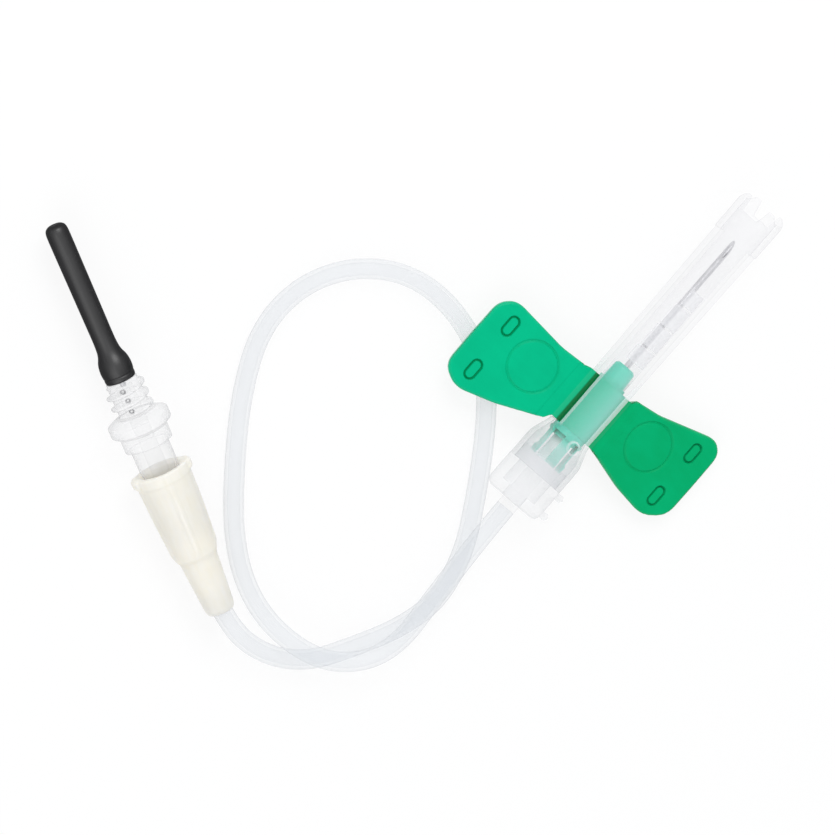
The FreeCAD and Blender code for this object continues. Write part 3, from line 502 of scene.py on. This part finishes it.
# The right wing's copy of the wing green is darker: painted shade, used for the right wing and its hinge web
GREEN_RIGHT_SHADED = green_wing("green_wing_shaded", (0.0, 0.37, 0.13, 1), (0.0, 0.41, 0.155, 1))
GREEN_HUB, GREEN_SADDLE = green_hub("green_hub"), green_saddle("green_saddle")
STEEL = steel("needle_steel")
IVORY = ivory("ivory_connector")
RUBBER = black_rubber("black_rubber")


# Tube

def route_line(route, per_span=12):
    """Points along the smooth line that the route's points steer, in millimetres."""
    curve = bpy.data.curves.new("tube_route", "CURVE")
    curve.dimensions = "3D"
    curve.resolution_u = per_span
    spline = curve.splines.new("NURBS")
    spline.points.add(len(route) - 1)
    spline.points.foreach_set("co", np.column_stack([np.array(route) * MM, np.ones(len(route))]).ravel())
    spline.order_u = 3
    spline.use_endpoint_u = True
    holder = bpy.data.objects.new("tube_route", curve)
    scene.collection.objects.link(holder)
    line = bpy.data.meshes.new_from_object(holder.evaluated_get(bpy.context.evaluated_depsgraph_get()))
    points = np.zeros(3 * len(line.vertices))
    line.vertices.foreach_get("co", points)
    bpy.data.objects.remove(holder)
    bpy.data.meshes.remove(line)
    return points.reshape(-1, 3) / MM


def hollow_tube(name, line, finish, around=40):
    """The tube's wall along a line: rings square to it outside, then back along the inside.

    Each ring lies in the plane of side and up, where side is the floor's up crossed with the
    line's direction, and a ring's point is centre + r (side cos a + up sin a). The points of the
    bore are marked as inner wall.
    """
    ahead = np.gradient(line, axis=0)
    ahead /= np.linalg.norm(ahead, axis=1, keepdims=True)
    side = np.cross([0, 0, 1], ahead)
    side /= np.linalg.norm(side, axis=1, keepdims=True)
    up = np.cross(ahead, side)
    angle = np.linspace(0, 2 * np.pi, around, endpoint=False)[None, :, None]
    ring = side[:, None] * np.cos(angle) + up[:, None] * np.sin(angle)
    rows = np.concatenate([line[:, None] + TUBE_RADIUS * ring, (line[:, None] + BORE_RADIUS * ring)[::-1]])
    return piece(name, rows.reshape(-1, 3), quads(len(rows), around, close_rows=True), finish,
                 marks={"inner_wall": np.repeat([0.0, 1.0], len(line) * around)})


# The free tube starts just inside the cap's bore and stops two points short of the socket's floor
CAP_OVERLAP, SOCKET_GAP = 0.2, 2
tube_line = route_line(TUBE_ROUTE)
leaves_cap = int(np.argmax(tube_line[:, 0] < REAR + CAP_OVERLAP))
free_line = tube_line[leaves_cap:-SOCKET_GAP]
tube = hollow_tube("flow_tube", free_line, CLEAR_TUBE)
tube_inside = hollow_tube("flow_tube_in_shield", refined(tube_line[:leaves_cap + 1], 0.5), CLEAR_TUBE_INSIDE)


# Wings, worked out with x forward from the saddle's rear and y outwards from the hinge line

WING_THICKNESS, WING_REACH = 1.0, 14.0
EDGE_RADIUS = 0.42
HINGE_SKIN, GROOVE_WIDTH = 0.15, 0.75
ROOT_GAP, TIP_ROUND = 0.05, 0.05
ROOT_REAR, ROOT_FRONT, TIP_MIDDLE = -0.66, 8.04, 3.2
FRONT_EDGE = [(ROOT_FRONT, ROOT_GAP), (8.19, 3.8), (9.79, 12.2), (8.29, WING_REACH - TIP_ROUND),
              (TIP_MIDDLE, WING_REACH)]
REAR_EDGE = [(ROOT_REAR, ROOT_GAP), (-2.61, 5.8), (-3.76, 11.12), (-1.96, WING_REACH - TIP_ROUND),
             (TIP_MIDDLE, WING_REACH)]
FRONT_CUTS, REAR_CUTS = [0, 0.8, 1.3, 1.2, 0], [0, 0.7, 1.5, 1.5, 0]
RING_X, RING_Y, RING_RADIUS = 4.03, 5.2, 3.35
STUDS_X, STUD_Y = (-0.585, 6.615), WING_REACH - 3.2
STUD_STRAIGHT, STUD_RADIUS = 0.675, 0.825


def leaned(x, y, lean):
    """The place along the hinge of a wing point at (x, y) once the wing leans about the shield's axis."""
    return x + lean * (y + HINGE_SIDE) / (WING_REACH + HINGE_SIDE)


def wing_edge(corners, cuts, lean):
    """One long edge of a leaning wing, from its root to its tip, with its corners rounded."""
    return rounded([(leaned(x, y, lean), y) for x, y in corners], cuts, 14)


def wing_grid(rear, front, across=150, along=160):
    """Grids of x and y: v runs from the root to the tip and u from the rear edge to the front edge.

    y goes by 1 - (1 - v)^1.7, which sets the rows closer at the tip. u is half an even count and
    half a cosine's, which sets the columns closer at both edges.
    """
    v = np.linspace(0, 1, along)
    y = ROOT_GAP + (WING_REACH - ROOT_GAP) * (1 - (1 - v) ** 1.7)
    x_rear, x_front = (np.interp(y, edge[:, 1], edge[:, 0]) for edge in (rear, front))
    u = 0.5 - 0.5 * np.cos(np.linspace(0, np.pi, across))
    u = 0.5 * u + 0.5 * np.linspace(0, 1, across)
    x = x_rear[:, None] + (x_front - x_rear)[:, None] * u[None, :]
    return x, y[:, None] + 0 * x


def distance_to(outline, x, y, batch=2000):
    """How far each grid point is from the nearest of the outline's points."""
    flat = np.stack([x.ravel(), y.ravel()], 1)
    nearest = [((flat[k:k + batch, None] - outline[None]) ** 2).sum(-1).min(1)
               for k in range(0, len(flat), batch)]
    return np.sqrt(np.concatenate(nearest)).reshape(x.shape)


def moulded_marks(x, y, lean):
    """How far the ring and the two studs are cut in at each point, and how much painted shade their grooves
    take.

    A ring's groove is where the distance to its middle is near its radius. A stud is the same for
    a short straight line instead of a middle, and its face lies a little below the wing's.
    """
    ring = np.hypot(x - leaned(RING_X, RING_Y, lean), y - RING_Y) - RING_RADIUS
    ring_groove = 1 - smoothstep(np.abs(ring), 0.06, 0.2)
    # dark is painted shade: a little in the ring's groove and full in the studs' grooves
    depth, dark = 0.15 * ring_groove, 0.12 * ring_groove
    for middle in STUDS_X:
        past_straight = np.maximum(np.abs(x - leaned(middle, STUD_Y, lean)) - STUD_STRAIGHT, 0)
        stud = np.hypot(past_straight, y - STUD_Y) - STUD_RADIUS
        stud_groove = 1 - smoothstep(np.abs(stud + 0.14), 0.06, 0.18)
        depth = depth + 0.3 * stud_groove + 0.05 * (1 - smoothstep(stud, -0.3, -0.2))
        dark = np.maximum(dark, stud_groove)
    return depth, dark


def drooped(y, droop):
    """A point's slope, and how far out and how far down it lies, when the wing curves downwards.

    The slope goes evenly from droop[0] degrees at the root to droop[1] at the tip. Out and down are
    the sums of its cosine and of its sine over small steps along the wing.
    """
    steps = np.linspace(0, WING_REACH, 400)
    slope, fall = (np.radians(droop[0] + (droop[1] - droop[0]) * way / WING_REACH) for way in (y, steps))
    out, down = (np.append(0, np.cumsum(part(fall[1:]) * np.diff(steps))) for part in (np.cos, np.sin))
    return slope, np.interp(y, steps, out), np.interp(y, steps, down)


def wing(name, side, lean, droop, finish):
    """One wing with rounded edges, its moulded ring and its two oval studs.

    The top is the thickness less a quarter round near the outline, not above the slope of the
    hinge's groove at the root, and less the cuts of the ring and the studs. The bottom rises by 0.6
    of the quarter round.
    """
    rear, front = wing_edge(REAR_EDGE, REAR_CUTS, lean), wing_edge(FRONT_EDGE, FRONT_CUTS, lean)
    x, y = wing_grid(rear, front)
    outline = refined(np.concatenate([rear, front[::-1]]), 0.08)
    inward = np.clip(EDGE_RADIUS - distance_to(outline, x, y), 0, EDGE_RADIUS)
    edge = EDGE_RADIUS - np.sqrt(EDGE_RADIUS ** 2 - inward ** 2)
    hinge_groove = HINGE_SKIN + (y - ROOT_GAP) / GROOVE_WIDTH * (WING_THICKNESS - HINGE_SKIN)
    depth, dark = moulded_marks(x, y, lean)
    top = np.minimum(WING_THICKNESS - edge, hinge_groove) - depth
    bottom = np.minimum(edge * 0.6, 0.4 * top)
    slope, y_out, z_down = drooped(y, droop)

    def placed(height):
        rise = height - HINGE_SKIN
        return np.stack([SADDLE_REAR + x, side * (HINGE_SIDE + y_out + rise * np.sin(slope)),
                         HINGE_HEIGHT - z_down + rise * np.cos(slope)], -1).reshape(-1, 3)

    glossy = np.minimum(edge / EDGE_RADIUS, 1)
    # The groove mark carries the painted shade of the ring's and the studs' grooves
    return piece(name, np.concatenate([placed(top), placed(bottom)]), plate_faces(*x.shape), finish,
                 crisp=50, marks={"groove": np.append(dark, 0 * dark), "edge": np.append(glossy, glossy)})


# The soft strips in the hinges' grooves: half their width, their lowest and highest places, how far
# their ends stay back from the wing's outline, and the length of the stub beside them
WEB_HALF, WEB_LOW, WEB_TOP = 0.8, -0.14, 0.85
WEB_INSET = 0.1
STUB_LENGTH = 7.8


def hinge_web(name, side, lean, tilt, finish):
    """The soft strip in the hinge's groove, from the saddle's stub over to the wing.

    It is a plate whose s is the distance from the hinge line. Each section across it turns about
    that line by a share of the tilt that grows smoothly with s. Its ends follow the outlines of the
    stub, where s is below 0, and of the wing.
    """
    s = np.linspace(-WEB_HALF, WEB_HALF, 27)
    corners = [-WEB_HALF, -ROOT_GAP, ROOT_GAP, WEB_HALF]
    rear = np.interp(s, corners, [0.0, ROOT_REAR, ROOT_REAR, ROOT_REAR - 0.27]) + WEB_INSET
    front = np.interp(s, corners, [STUB_LENGTH, ROOT_FRONT, ROOT_FRONT, ROOT_FRONT + 0.03]) - WEB_INSET
    lean_here = lean * smoothstep(s, -0.85, -0.05)
    x = SADDLE_REAR + np.stack([leaned(end, np.maximum(s, 0), lean_here) for end in (rear, front)])
    s = s + 0 * x
    slope = np.radians(tilt) * smoothstep(s, -0.3, 0.3)

    def placed(height):
        return np.stack([x, side * (HINGE_SIDE + s * np.cos(slope) + height * np.sin(slope)),
                         HINGE_HEIGHT - np.maximum(s, 0) * np.sin(slope) + height * np.cos(slope)],
                        -1).reshape(-1, 3)

    return piece(name, np.concatenate([placed(WEB_TOP), placed(WEB_LOW)]), plate_faces(*x.shape), finish)


LEFT_LEAN, RIGHT_LEAN = -2.0, 2.0
LEFT_DROOP, RIGHT_DROOP = (3.5, 3.5), (13.0, 7.5)
left_wing = wing("wing_left_soft", 1, LEFT_LEAN, LEFT_DROOP, GREEN_LEFT)
right_wing = wing("wing_right_soft", -1, RIGHT_LEAN, RIGHT_DROOP, GREEN_RIGHT_SHADED)
left_web = hinge_web("hinge_web_left", 1, LEFT_LEAN, LEFT_DROOP[0], GREEN_LEFT)
right_web = hinge_web("hinge_web_right", -1, RIGHT_LEAN, RIGHT_DROOP[0], GREEN_RIGHT_SHADED)


# Rubber sleeve on the rear needle

SLEEVE_LENGTH = 21.3
SLEEVE_BASE = THREAD_END + 0.02
NEEDLE_ROOM = 0.62


def sleeve():
    """The sleeve: a turned profile, flared at its base, slim along the needle and round at its tip.

    The outside runs from the base to the tip with each corner rounded by a parabola, and the inside
    runs back along the needle's room and over the spigot.
    """
    base, tip = SLEEVE_BASE, SLEEVE_BASE + SLEEVE_LENGTH
    outside = rounded([(base, 1.17), (base, 1.95), (base + 0.55, 2.0), (base + 0.7, 1.94),
                       (base + 0.85, 2.02), (base + 1.6, 2.1), (base + 2.7, 1.98), (base + 3.75, 1.5),
                       (base + 5.1, 1.38), (tip - 2.2, 1.46), (tip - 0.5, 1.44), (tip, 0.85), (tip, 0.0)],
                      [0, 0.2, 0.1, 0.1, 0.1, 0.6, 0.8, 0.9, 1.2, 1.5, 0.8, 0.6, 0], 8)
    inside = rounded([(tip - 2.0, 0.0), (tip - 2.0, NEEDLE_ROOM), (SPIGOT_END + 0.6, NEEDLE_ROOM),
                      (SPIGOT_END + 0.15, 1.15), (THREAD_END + 1.6, 1.47), (THREAD_END + 1.3, 1.47),
                      (THREAD_END + 1.04, 1.17)], 0.1, 3)
    points, faces = turned(refined(np.concatenate([outside, inside]), 0.6), 96)
    return piece("sleeve_rubber", on_adapter(points), faces, RUBBER, crisp=50)


rubber = sleeve()


# Ivory luer connector

# Outside, then the tube's socket, the narrow lead between it and the cone, and the cone's depth
FLANGE_RADIUS, LUG_RADIUS, MOUTH_RADIUS = 3.6, 3.95, 2.95
RIB_HEIGHT = 0.2
SOCKET_RADIUS, SOCKET_END, LEAD_RADIUS = 1.33, 3.0, 0.8
CONE_DEPTH = 9.0
AROUND = 160


def connector():
    """The connector's wall, turned from its profile. Four ribs and two lugs stand on its outside.

    A rib adds its height times a smooth bump round each quarter turn. A lug lifts the mouth's
    radius on the two sides.
    """
    outside = rounded([(0.0, SOCKET_RADIUS), (0.0, 1.7), (0.6, 1.95), (7.7, 2.5), (8.2, 2.85), (18.6, 3.5),
                       (18.75, FLANGE_RADIUS), (MOUTH, FLANGE_RADIUS), (MOUTH, MOUTH_RADIUS)],
                      [0, 0.15, 0.5, 0.5, 0.5, 0.2, 0.1, 0.22, 0])
    inside = rounded([(MOUTH, MOUTH_RADIUS), (MOUTH - 0.3, 2.38), (MOUTH - 1.0, 2.15),
                      (MOUTH - CONE_DEPTH, 1.91), (MOUTH - CONE_DEPTH, LEAD_RADIUS),
                      (SOCKET_END, LEAD_RADIUS), (SOCKET_END, SOCKET_RADIUS), (0.0, SOCKET_RADIUS)], 0.12, 3)
    profile = refined(np.concatenate([outside, inside]), 0.25)

    def relief(station, radius, angle):
        outer = smoothstep(radius, 2.4, 2.6) * (station > 7.9)
        quarter = np.abs((angle + np.pi / 4) % (np.pi / 2) - np.pi / 4)
        height = RIB_HEIGHT * smoothstep(station, 8.2, 9.2) * (1 - 0.5 * smoothstep(station, 14.0, 18.6))
        radius = radius + outer * height * (1 - smoothstep(quarter * radius, 0.12, 0.5))
        half = np.abs((angle + np.pi / 2) % np.pi - np.pi / 2)
        lug = (1 - smoothstep(half, 0.3, 0.46)) * smoothstep(station, MOUTH - 1.3, MOUTH - 1.1)
        return radius + (LUG_RADIUS - FLANGE_RADIUS) * lug * smoothstep(radius, 3.3, 3.5)

    points, faces = turned(profile, AROUND, relief)
    return piece("luer_connector", on_adapter(points), faces, IVORY, crisp=40)


connector_piece = connector()


# Clear adapter

NECK_RADIUS, DRUM_RADIUS, COLLAR_RADIUS, CORE_RADIUS = 2.5, 3.15, 4.0, 2.05
DRUM_FLAT = 2.75
THREAD_HEIGHT = 0.6
CHANNEL_RADIUS, SEAT_RADIUS = 1.137, 0.38
SEAT_END, CHANNEL_END = SPIGOT_END - 3.5, SPIGOT_END - 3.4
# Where the needle shows through the thread, painted refraction: each dark spot's station and its place to
# the side
NEEDLE_REFRACTION_SPOTS = ((31.6, 0.57), (30.3, 0.4), (28.85, 0.5))


def adapter():
    """The adapter's wall: luer cone, neck, flatted drum, collar, helical thread and sleeve spigot.

    The thread's ridge adds its height where the station, counted in pitches and less the share of
    a turn, is near a whole number; it fades in and out at the thread's ends. The drum's radius is
    no more than the flat's height over the sine of the angle. Three small dark spots of painted
    refraction show in the thread's valleys, where the needle is seen through the thread; each is a
    ring of points at an even stretched distance.
    """
    outside = [(LUER_TIP, CHANNEL_RADIUS), (LUER_TIP, 1.887), (MOUTH - 1.0, 2.115),
               (MOUTH + 0.3, NECK_RADIUS), (NECK_END, NECK_RADIUS), (NECK_END, DRUM_RADIUS),
               (DRUM_END, DRUM_RADIUS), (DRUM_END + 0.6, COLLAR_RADIUS), (COLLAR_END - 0.6, COLLAR_RADIUS),
               (COLLAR_END, 2.8), (COLLAR_END, CORE_RADIUS), (THREAD_END, CORE_RADIUS), (THREAD_END, 1.15),
               (THREAD_END + 1.43, 1.15), (THREAD_END + 1.56, 1.45), (SPIGOT_END, 0.95),
               (SPIGOT_END, SEAT_RADIUS)]
    inside = [(SEAT_END, SEAT_RADIUS), (SEAT_END, CHANNEL_RADIUS)]
    profile = refined(np.concatenate([rounded(outside, 0.16, 5), inside]), 0.1)
    inner_wall = (profile[:, 1] < CHANNEL_RADIUS + TINY / 2) & (profile[:, 0] < CHANNEL_END)

    def relief(station, radius, angle):
        drum = (station > NECK_END - TINY) & (station < DRUM_END + TINY) & (radius > 2.6)
        flat = DRUM_FLAT / np.maximum(np.abs(np.sin(angle)), 0.3)
        radius = np.where(drum, np.minimum(radius, flat), radius)
        turns = (station - COLLAR_END) / THREAD_PITCH - angle / (2 * np.pi)
        ridge = np.abs((turns + 0.5) % 1 - 0.5) * THREAD_PITCH
        fade = smoothstep(station, COLLAR_END, COLLAR_END + 0.5)
        fade = fade * (1 - smoothstep(station, THREAD_END - 0.9, THREAD_END - 0.3))
        core = (station > COLLAR_END + TINY) & (station < THREAD_END - TINY) & (radius > 1.9)
        return radius + core * THREAD_HEIGHT * fade * (1 - smoothstep(ridge, 0.14, 0.42))

    points, faces = turned(profile, AROUND, relief)
    on_top = (points[:, 2] > 1.3) & (points[:, 0] > COLLAR_END + 0.05)
    # Dark spots of painted refraction, where the needle is seen through the thread's valleys
    needle_refraction = np.zeros(len(points))
    for station, side in NEEDLE_REFRACTION_SPOTS:
        away = np.hypot((points[:, 0] - station) / 0.32, (points[:, 1] - side) / 0.42)
        needle_refraction = np.maximum(needle_refraction, on_top * (1 - smoothstep(np.abs(away - 0.6), 0.1, 0.45)))
    return piece("adapter_clear", on_adapter(points), faces, CLEAR_ADAPTER, crisp=40,
                 marks={"inner_wall": np.repeat(inner_wall, AROUND), "needle_refraction": needle_refraction})


adapter_piece = adapter()


# Clear shield

BELL_RADIUS, BELL_INSIDE = 4.1, 3.45
BARREL_RADIUS, BARREL_INSIDE, FRONT_RADIUS = 3.15, 2.6, 3.45
# The front notch: its depth, where its floor and its side end, and how far back it moves the rows
NOTCH_DEPTH, NOTCH_FLOOR, NOTCH_SIDE, NOTCH_REACH = 2.1, 1.45, 2.15, 4.2
EAR_ROUND = 0.9
WINDOW_X, WINDOW_Y, WINDOW_RADIUS, WINDOW_REACH = -14.6, -0.75, 0.85, 1.1
ARCH_COLUMNS, SLOT_COLUMNS = 80, 8


def shell(x, outer, inner, angle, kept):
    """A wall between an outer and an inner grid of radii, over the cells that are kept.

    Where a kept cell meets one that isn't, a narrow face joins the outer and the inner grid.
    """
    rows, columns = x.shape
    count = rows * columns
    points = np.concatenate([np.stack([x, r * np.cos(angle), r * np.sin(angle)], -1).reshape(-1, 3)
                             for r in (outer, inner)])
    faces = quads(rows, columns)[kept.ravel()]
    number = np.arange(count).reshape(rows, columns)
    solid = np.vstack([np.zeros(columns, bool), kept, np.zeros(columns, bool)])
    i, j = np.nonzero(solid[1:] != solid[:-1])
    a, b = number[i, j], number[i, (j + 1) % columns]
    across = np.stack([a, b, b + count, a + count], 1)
    i, j = np.nonzero(kept != np.roll(kept, 1, 1))
    a, b = number[i, j], number[i + 1, j]
    along = np.stack([a, b, b + count, a + count], 1)
    return points, np.concatenate([faces, faces + count, across, along])


def shield():
    """The sleeve: bell, shoulder and barrel, two side slots, and ears beside the front notch.

    Columns follow the slots' edges, at the angle whose sine is half the slot over the radius. The
    front edge is drawn back over the top and the bottom, which leaves two rounded ears. The round
    window's rim, the slots' edges beside the hub and the bell are marked as milky.
    """
    outside = rounded([(SEAM, BELL_RADIUS), (SHOULDER, BELL_RADIUS), (BARREL, BARREL_RADIUS),
                       (FRONT, FRONT_RADIUS)], [0, 0.8, 0.8, 0], 8)
    inside = rounded([(SEAM, BELL_INSIDE), (SHOULDER, BELL_INSIDE), (BARREL, BARREL_INSIDE),
                      (FRONT, BARREL_INSIDE)], [0, 0.6, 0.6, 0], 8)
    notch_rows = np.linspace(FRONT - NOTCH_REACH, FRONT, 30)
    window_rows = np.linspace(WINDOW_X - WINDOW_REACH, WINDOW_X + WINDOW_REACH, 34)
    x = np.unique(np.concatenate([refined(outside, 0.35)[:, 0], [SLOT_REAR, SLOT_FRONT], notch_rows,
                                  window_rows]))
    outer, inner = (np.interp(x, wall[:, 0], wall[:, 1]) for wall in (outside, inside))
    alpha = np.arcsin(HALF_SLOT / outer)[:, None]
    arch, strip = (np.linspace(0, 1, n + 1)[None, :-1] for n in (ARCH_COLUMNS, SLOT_COLUMNS))
    angle = np.concatenate([alpha + arch * (np.pi - 2 * alpha), np.pi - alpha + strip * 2 * alpha,
                            np.pi + alpha + arch * (np.pi - 2 * alpha), -alpha + strip * 2 * alpha], 1)
    sideways = np.abs(outer[:, None] * np.cos(angle))
    drawn_back = (NOTCH_DEPTH * (1 - smoothstep(sideways, NOTCH_FLOOR, NOTCH_SIDE))
                  + EAR_ROUND * smoothstep(sideways, BARREL_INSIDE, FRONT_RADIUS))
    pull = smoothstep(x, FRONT - NOTCH_REACH, FRONT)[:, None]
    nose = (0.5 * smoothstep(x, FRONT - 0.7, FRONT) ** 2)[:, None]
    columns = angle.shape[1]
    slot_starts = (ARCH_COLUMNS, 2 * ARCH_COLUMNS + SLOT_COLUMNS)
    slot_rows = (x[:-1] > SLOT_REAR - TINY) & (x[1:] < SLOT_FRONT + TINY)
    slot_columns, lip = np.zeros(columns, bool), np.zeros(columns)
    for start in slot_starts:
        slot_columns[start:start + SLOT_COLUMNS] = True
        lip[[start, (start + SLOT_COLUMNS) % columns]] = 1
    kept = ~(slot_rows[:, None] & slot_columns[None, :])
    points, faces = shell(x[:, None] + 0 * angle - drawn_back * pull, outer[:, None] - nose,
                          inner[:, None] + 0 * angle, angle, kept)

    window = np.hypot(points[:, 0] - WINDOW_X, points[:, 1] - WINDOW_Y) - WINDOW_RADIUS
    window_rim = (points[:, 2] > 0) * (1 - smoothstep(np.abs(window), 0.05, 0.17))
    beside_hub = smoothstep(x, -13.6, -13.0) * (1 - smoothstep(x, -4.5, -2.0))
    lips = np.tile((beside_hub[:, None] * lip[None, :]).ravel(), 2)
    bell = 1 - smoothstep(points[:, 0], -16.0, -14.2)
    milky = np.maximum(np.maximum(window_rim * 0.5, lips * 0.7), bell * 0.3)
    return piece("shield_clear", on_shield(points), faces, CLEAR, crisp=30, marks={"milky": milky})


shield_piece = shield()


# Ratchet steps: where each starts and stops along the barrel, and its left edge; the right edge and
# the gap at each end that they share; the radii of the roof and of their faces
STEPS = ((-1.5, 1.2, 1.6), (1.2, 4.6, 1.42), (4.6, 8.1, 1.25), (8.1, 10.7, 0.95))
STEPS_RIGHT, STEPS_GAP = -1.07, 0.12
STEPS_ROOF, STEPS_FACE = 2.61, 2.54


def ratchet_steps(spans=8):
    """Four low clear pads along the barrel's inside roof, each a strip that follows the bore.

    A pad's section is two arcs about the barrel's axis, where the height is the square root of the
    radius squared less y squared.
    """
    points, faces = [], []
    for start, stop, left in STEPS:
        y = np.linspace(left, STEPS_RIGHT, spans + 1)
        roof, face = (np.sqrt(radius ** 2 - y ** 2) for radius in (STEPS_ROOF, STEPS_FACE))
        loop = np.concatenate([np.stack([y, roof], 1), np.stack([y, face], 1)[::-1]])
        first, n = sum(len(p) for p in points), len(loop)
        points += [np.column_stack([np.full(n, x), loop]) for x in (start + STEPS_GAP, stop - STEPS_GAP)]
        k = np.arange(n)
        faces.append(np.stack([k, (k + 1) % n, (k + 1) % n + n, k + n], 1) + first)
        half = np.arange(spans)
        cap = np.stack([half, half + 1, n - 2 - half, n - 1 - half], 1)
        faces += [cap + first, cap + first + n]
    points = on_shield(np.concatenate(points))
    return piece("ratchet_steps", points, np.concatenate(faces), FROSTED_STEPS, crisp=30)


ratchet = ratchet_steps()


# What each piece stands for and rides on

for made, body, node, slot in ((shield_piece, "shield_set", "shield", "clear_shield"),
                               (connector_piece, "shield_set", "female_luer", "ivory"),
                               (adapter_piece, "adapter", "luer_hub", "clear_adapter"),
                               (rubber, "adapter", "rubber_sleeve", "black_rubber"),
                               (left_wing, "wing_left", "left_wing", "green_wing"),
                               (right_wing, "wing_right", "right_wing", "green_wing"),
                               (tube, "shield_set", "tube", "clear_tube")):
    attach(made, body)
    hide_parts(node)
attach(ratchet, "shield_set")
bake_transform(tube_inside)

# Each web's placing is baked into its points
for web, side, body in ((left_web, 1, "wing_left"), (right_web, -1, "wing_right")):
    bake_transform(web)

for node, finish in (("end_cap", CLEAR_CAP), ("needle_hub", GREEN_HUB), ("wing_saddle", GREEN_SADDLE),
                     ("needle", STEEL), ("rear_needle", STEEL)):
    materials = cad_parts[node].data.materials
    materials.clear()
    materials.append(finish)


# Floor, light and the white all round

def table_top(half=2.0):
    """A level square, half metres from its middle to each side, that the eye sees evenly white."""
    mesh = bpy.data.meshes.new("table_top")
    corners = [(x * half, y * half, 0) for x, y in ((-1, -1), (1, -1), (1, 1), (-1, 1))]
    mesh.from_pydata(corners, [], [(0, 1, 2, 3)])
    paper = Finish("white_table", Base_Color=grey(0.9), Roughness=0.8, Specular_IOR_Level=0.1)
    glow = paper.node("ShaderNodeEmission", {}, {"Color": grey(1.0), "Strength": 1.0})
    shown = paper.node("ShaderNodeMixShader", {}, {
        0: paper.seen_white(0.86), 1: paper.shader.outputs[0], 2: glow.outputs[0]})
    paper.join(shown.outputs[0], paper.output.inputs["Surface"])
    mesh.materials.append(paper.material)
    floor = bpy.data.objects.new("table_top", mesh)
    scene.collection.objects.link(floor)
    return floor


def white_studio():
    """A pale sky that lights the set and is pure white where the eye, a reflection or glass looks."""
    world = bpy.data.worlds.new("studio")
    world.use_nodes = True
    studio = Nodes(world.node_tree)
    sky = studio.node("ShaderNodeBackground", {}, {"Strength": 0.62, "Color": (0.97, 0.98, 1, 1)})
    white = studio.node("ShaderNodeBackground", {}, {"Color": grey(1.0)})
    choice = studio.node("ShaderNodeMixShader", {}, {
        0: studio.seen_white(1.0), 1: sky.outputs[0], 2: white.outputs[0]})
    studio.node("ShaderNodeOutputWorld", {}, {"Surface": choice.outputs[0]})
    scene.world = world


SET_MIDDLE = np.array([-0.02, 0.016, 0.0])


def soft_lamp(name, place, size, power):
    """A square lamp of a size in metres at a place, aimed at the middle of the set."""
    lamp = bpy.data.lights.new(name, "AREA")
    lamp.shape, lamp.size, lamp.energy = "SQUARE", size, power
    holder = bpy.data.objects.new(name, lamp)
    holder.location = place
    aim = SET_MIDDLE - np.array(place)
    flat = math.hypot(aim[0], aim[1])
    holder.rotation_euler = (math.atan2(flat, -aim[2]), 0, math.atan2(-aim[0], aim[1]))
    scene.collection.objects.link(holder)


table_top()
white_studio()
soft_lamp("key", (0.33, 0.30, 0.5), 0.35, 2.2)
soft_lamp("fill", (-0.45, -0.1, 0.45), 0.5, 1.2)

scene.view_settings.view_transform = "Standard"
scene.cycles.transparent_max_bounces = 32
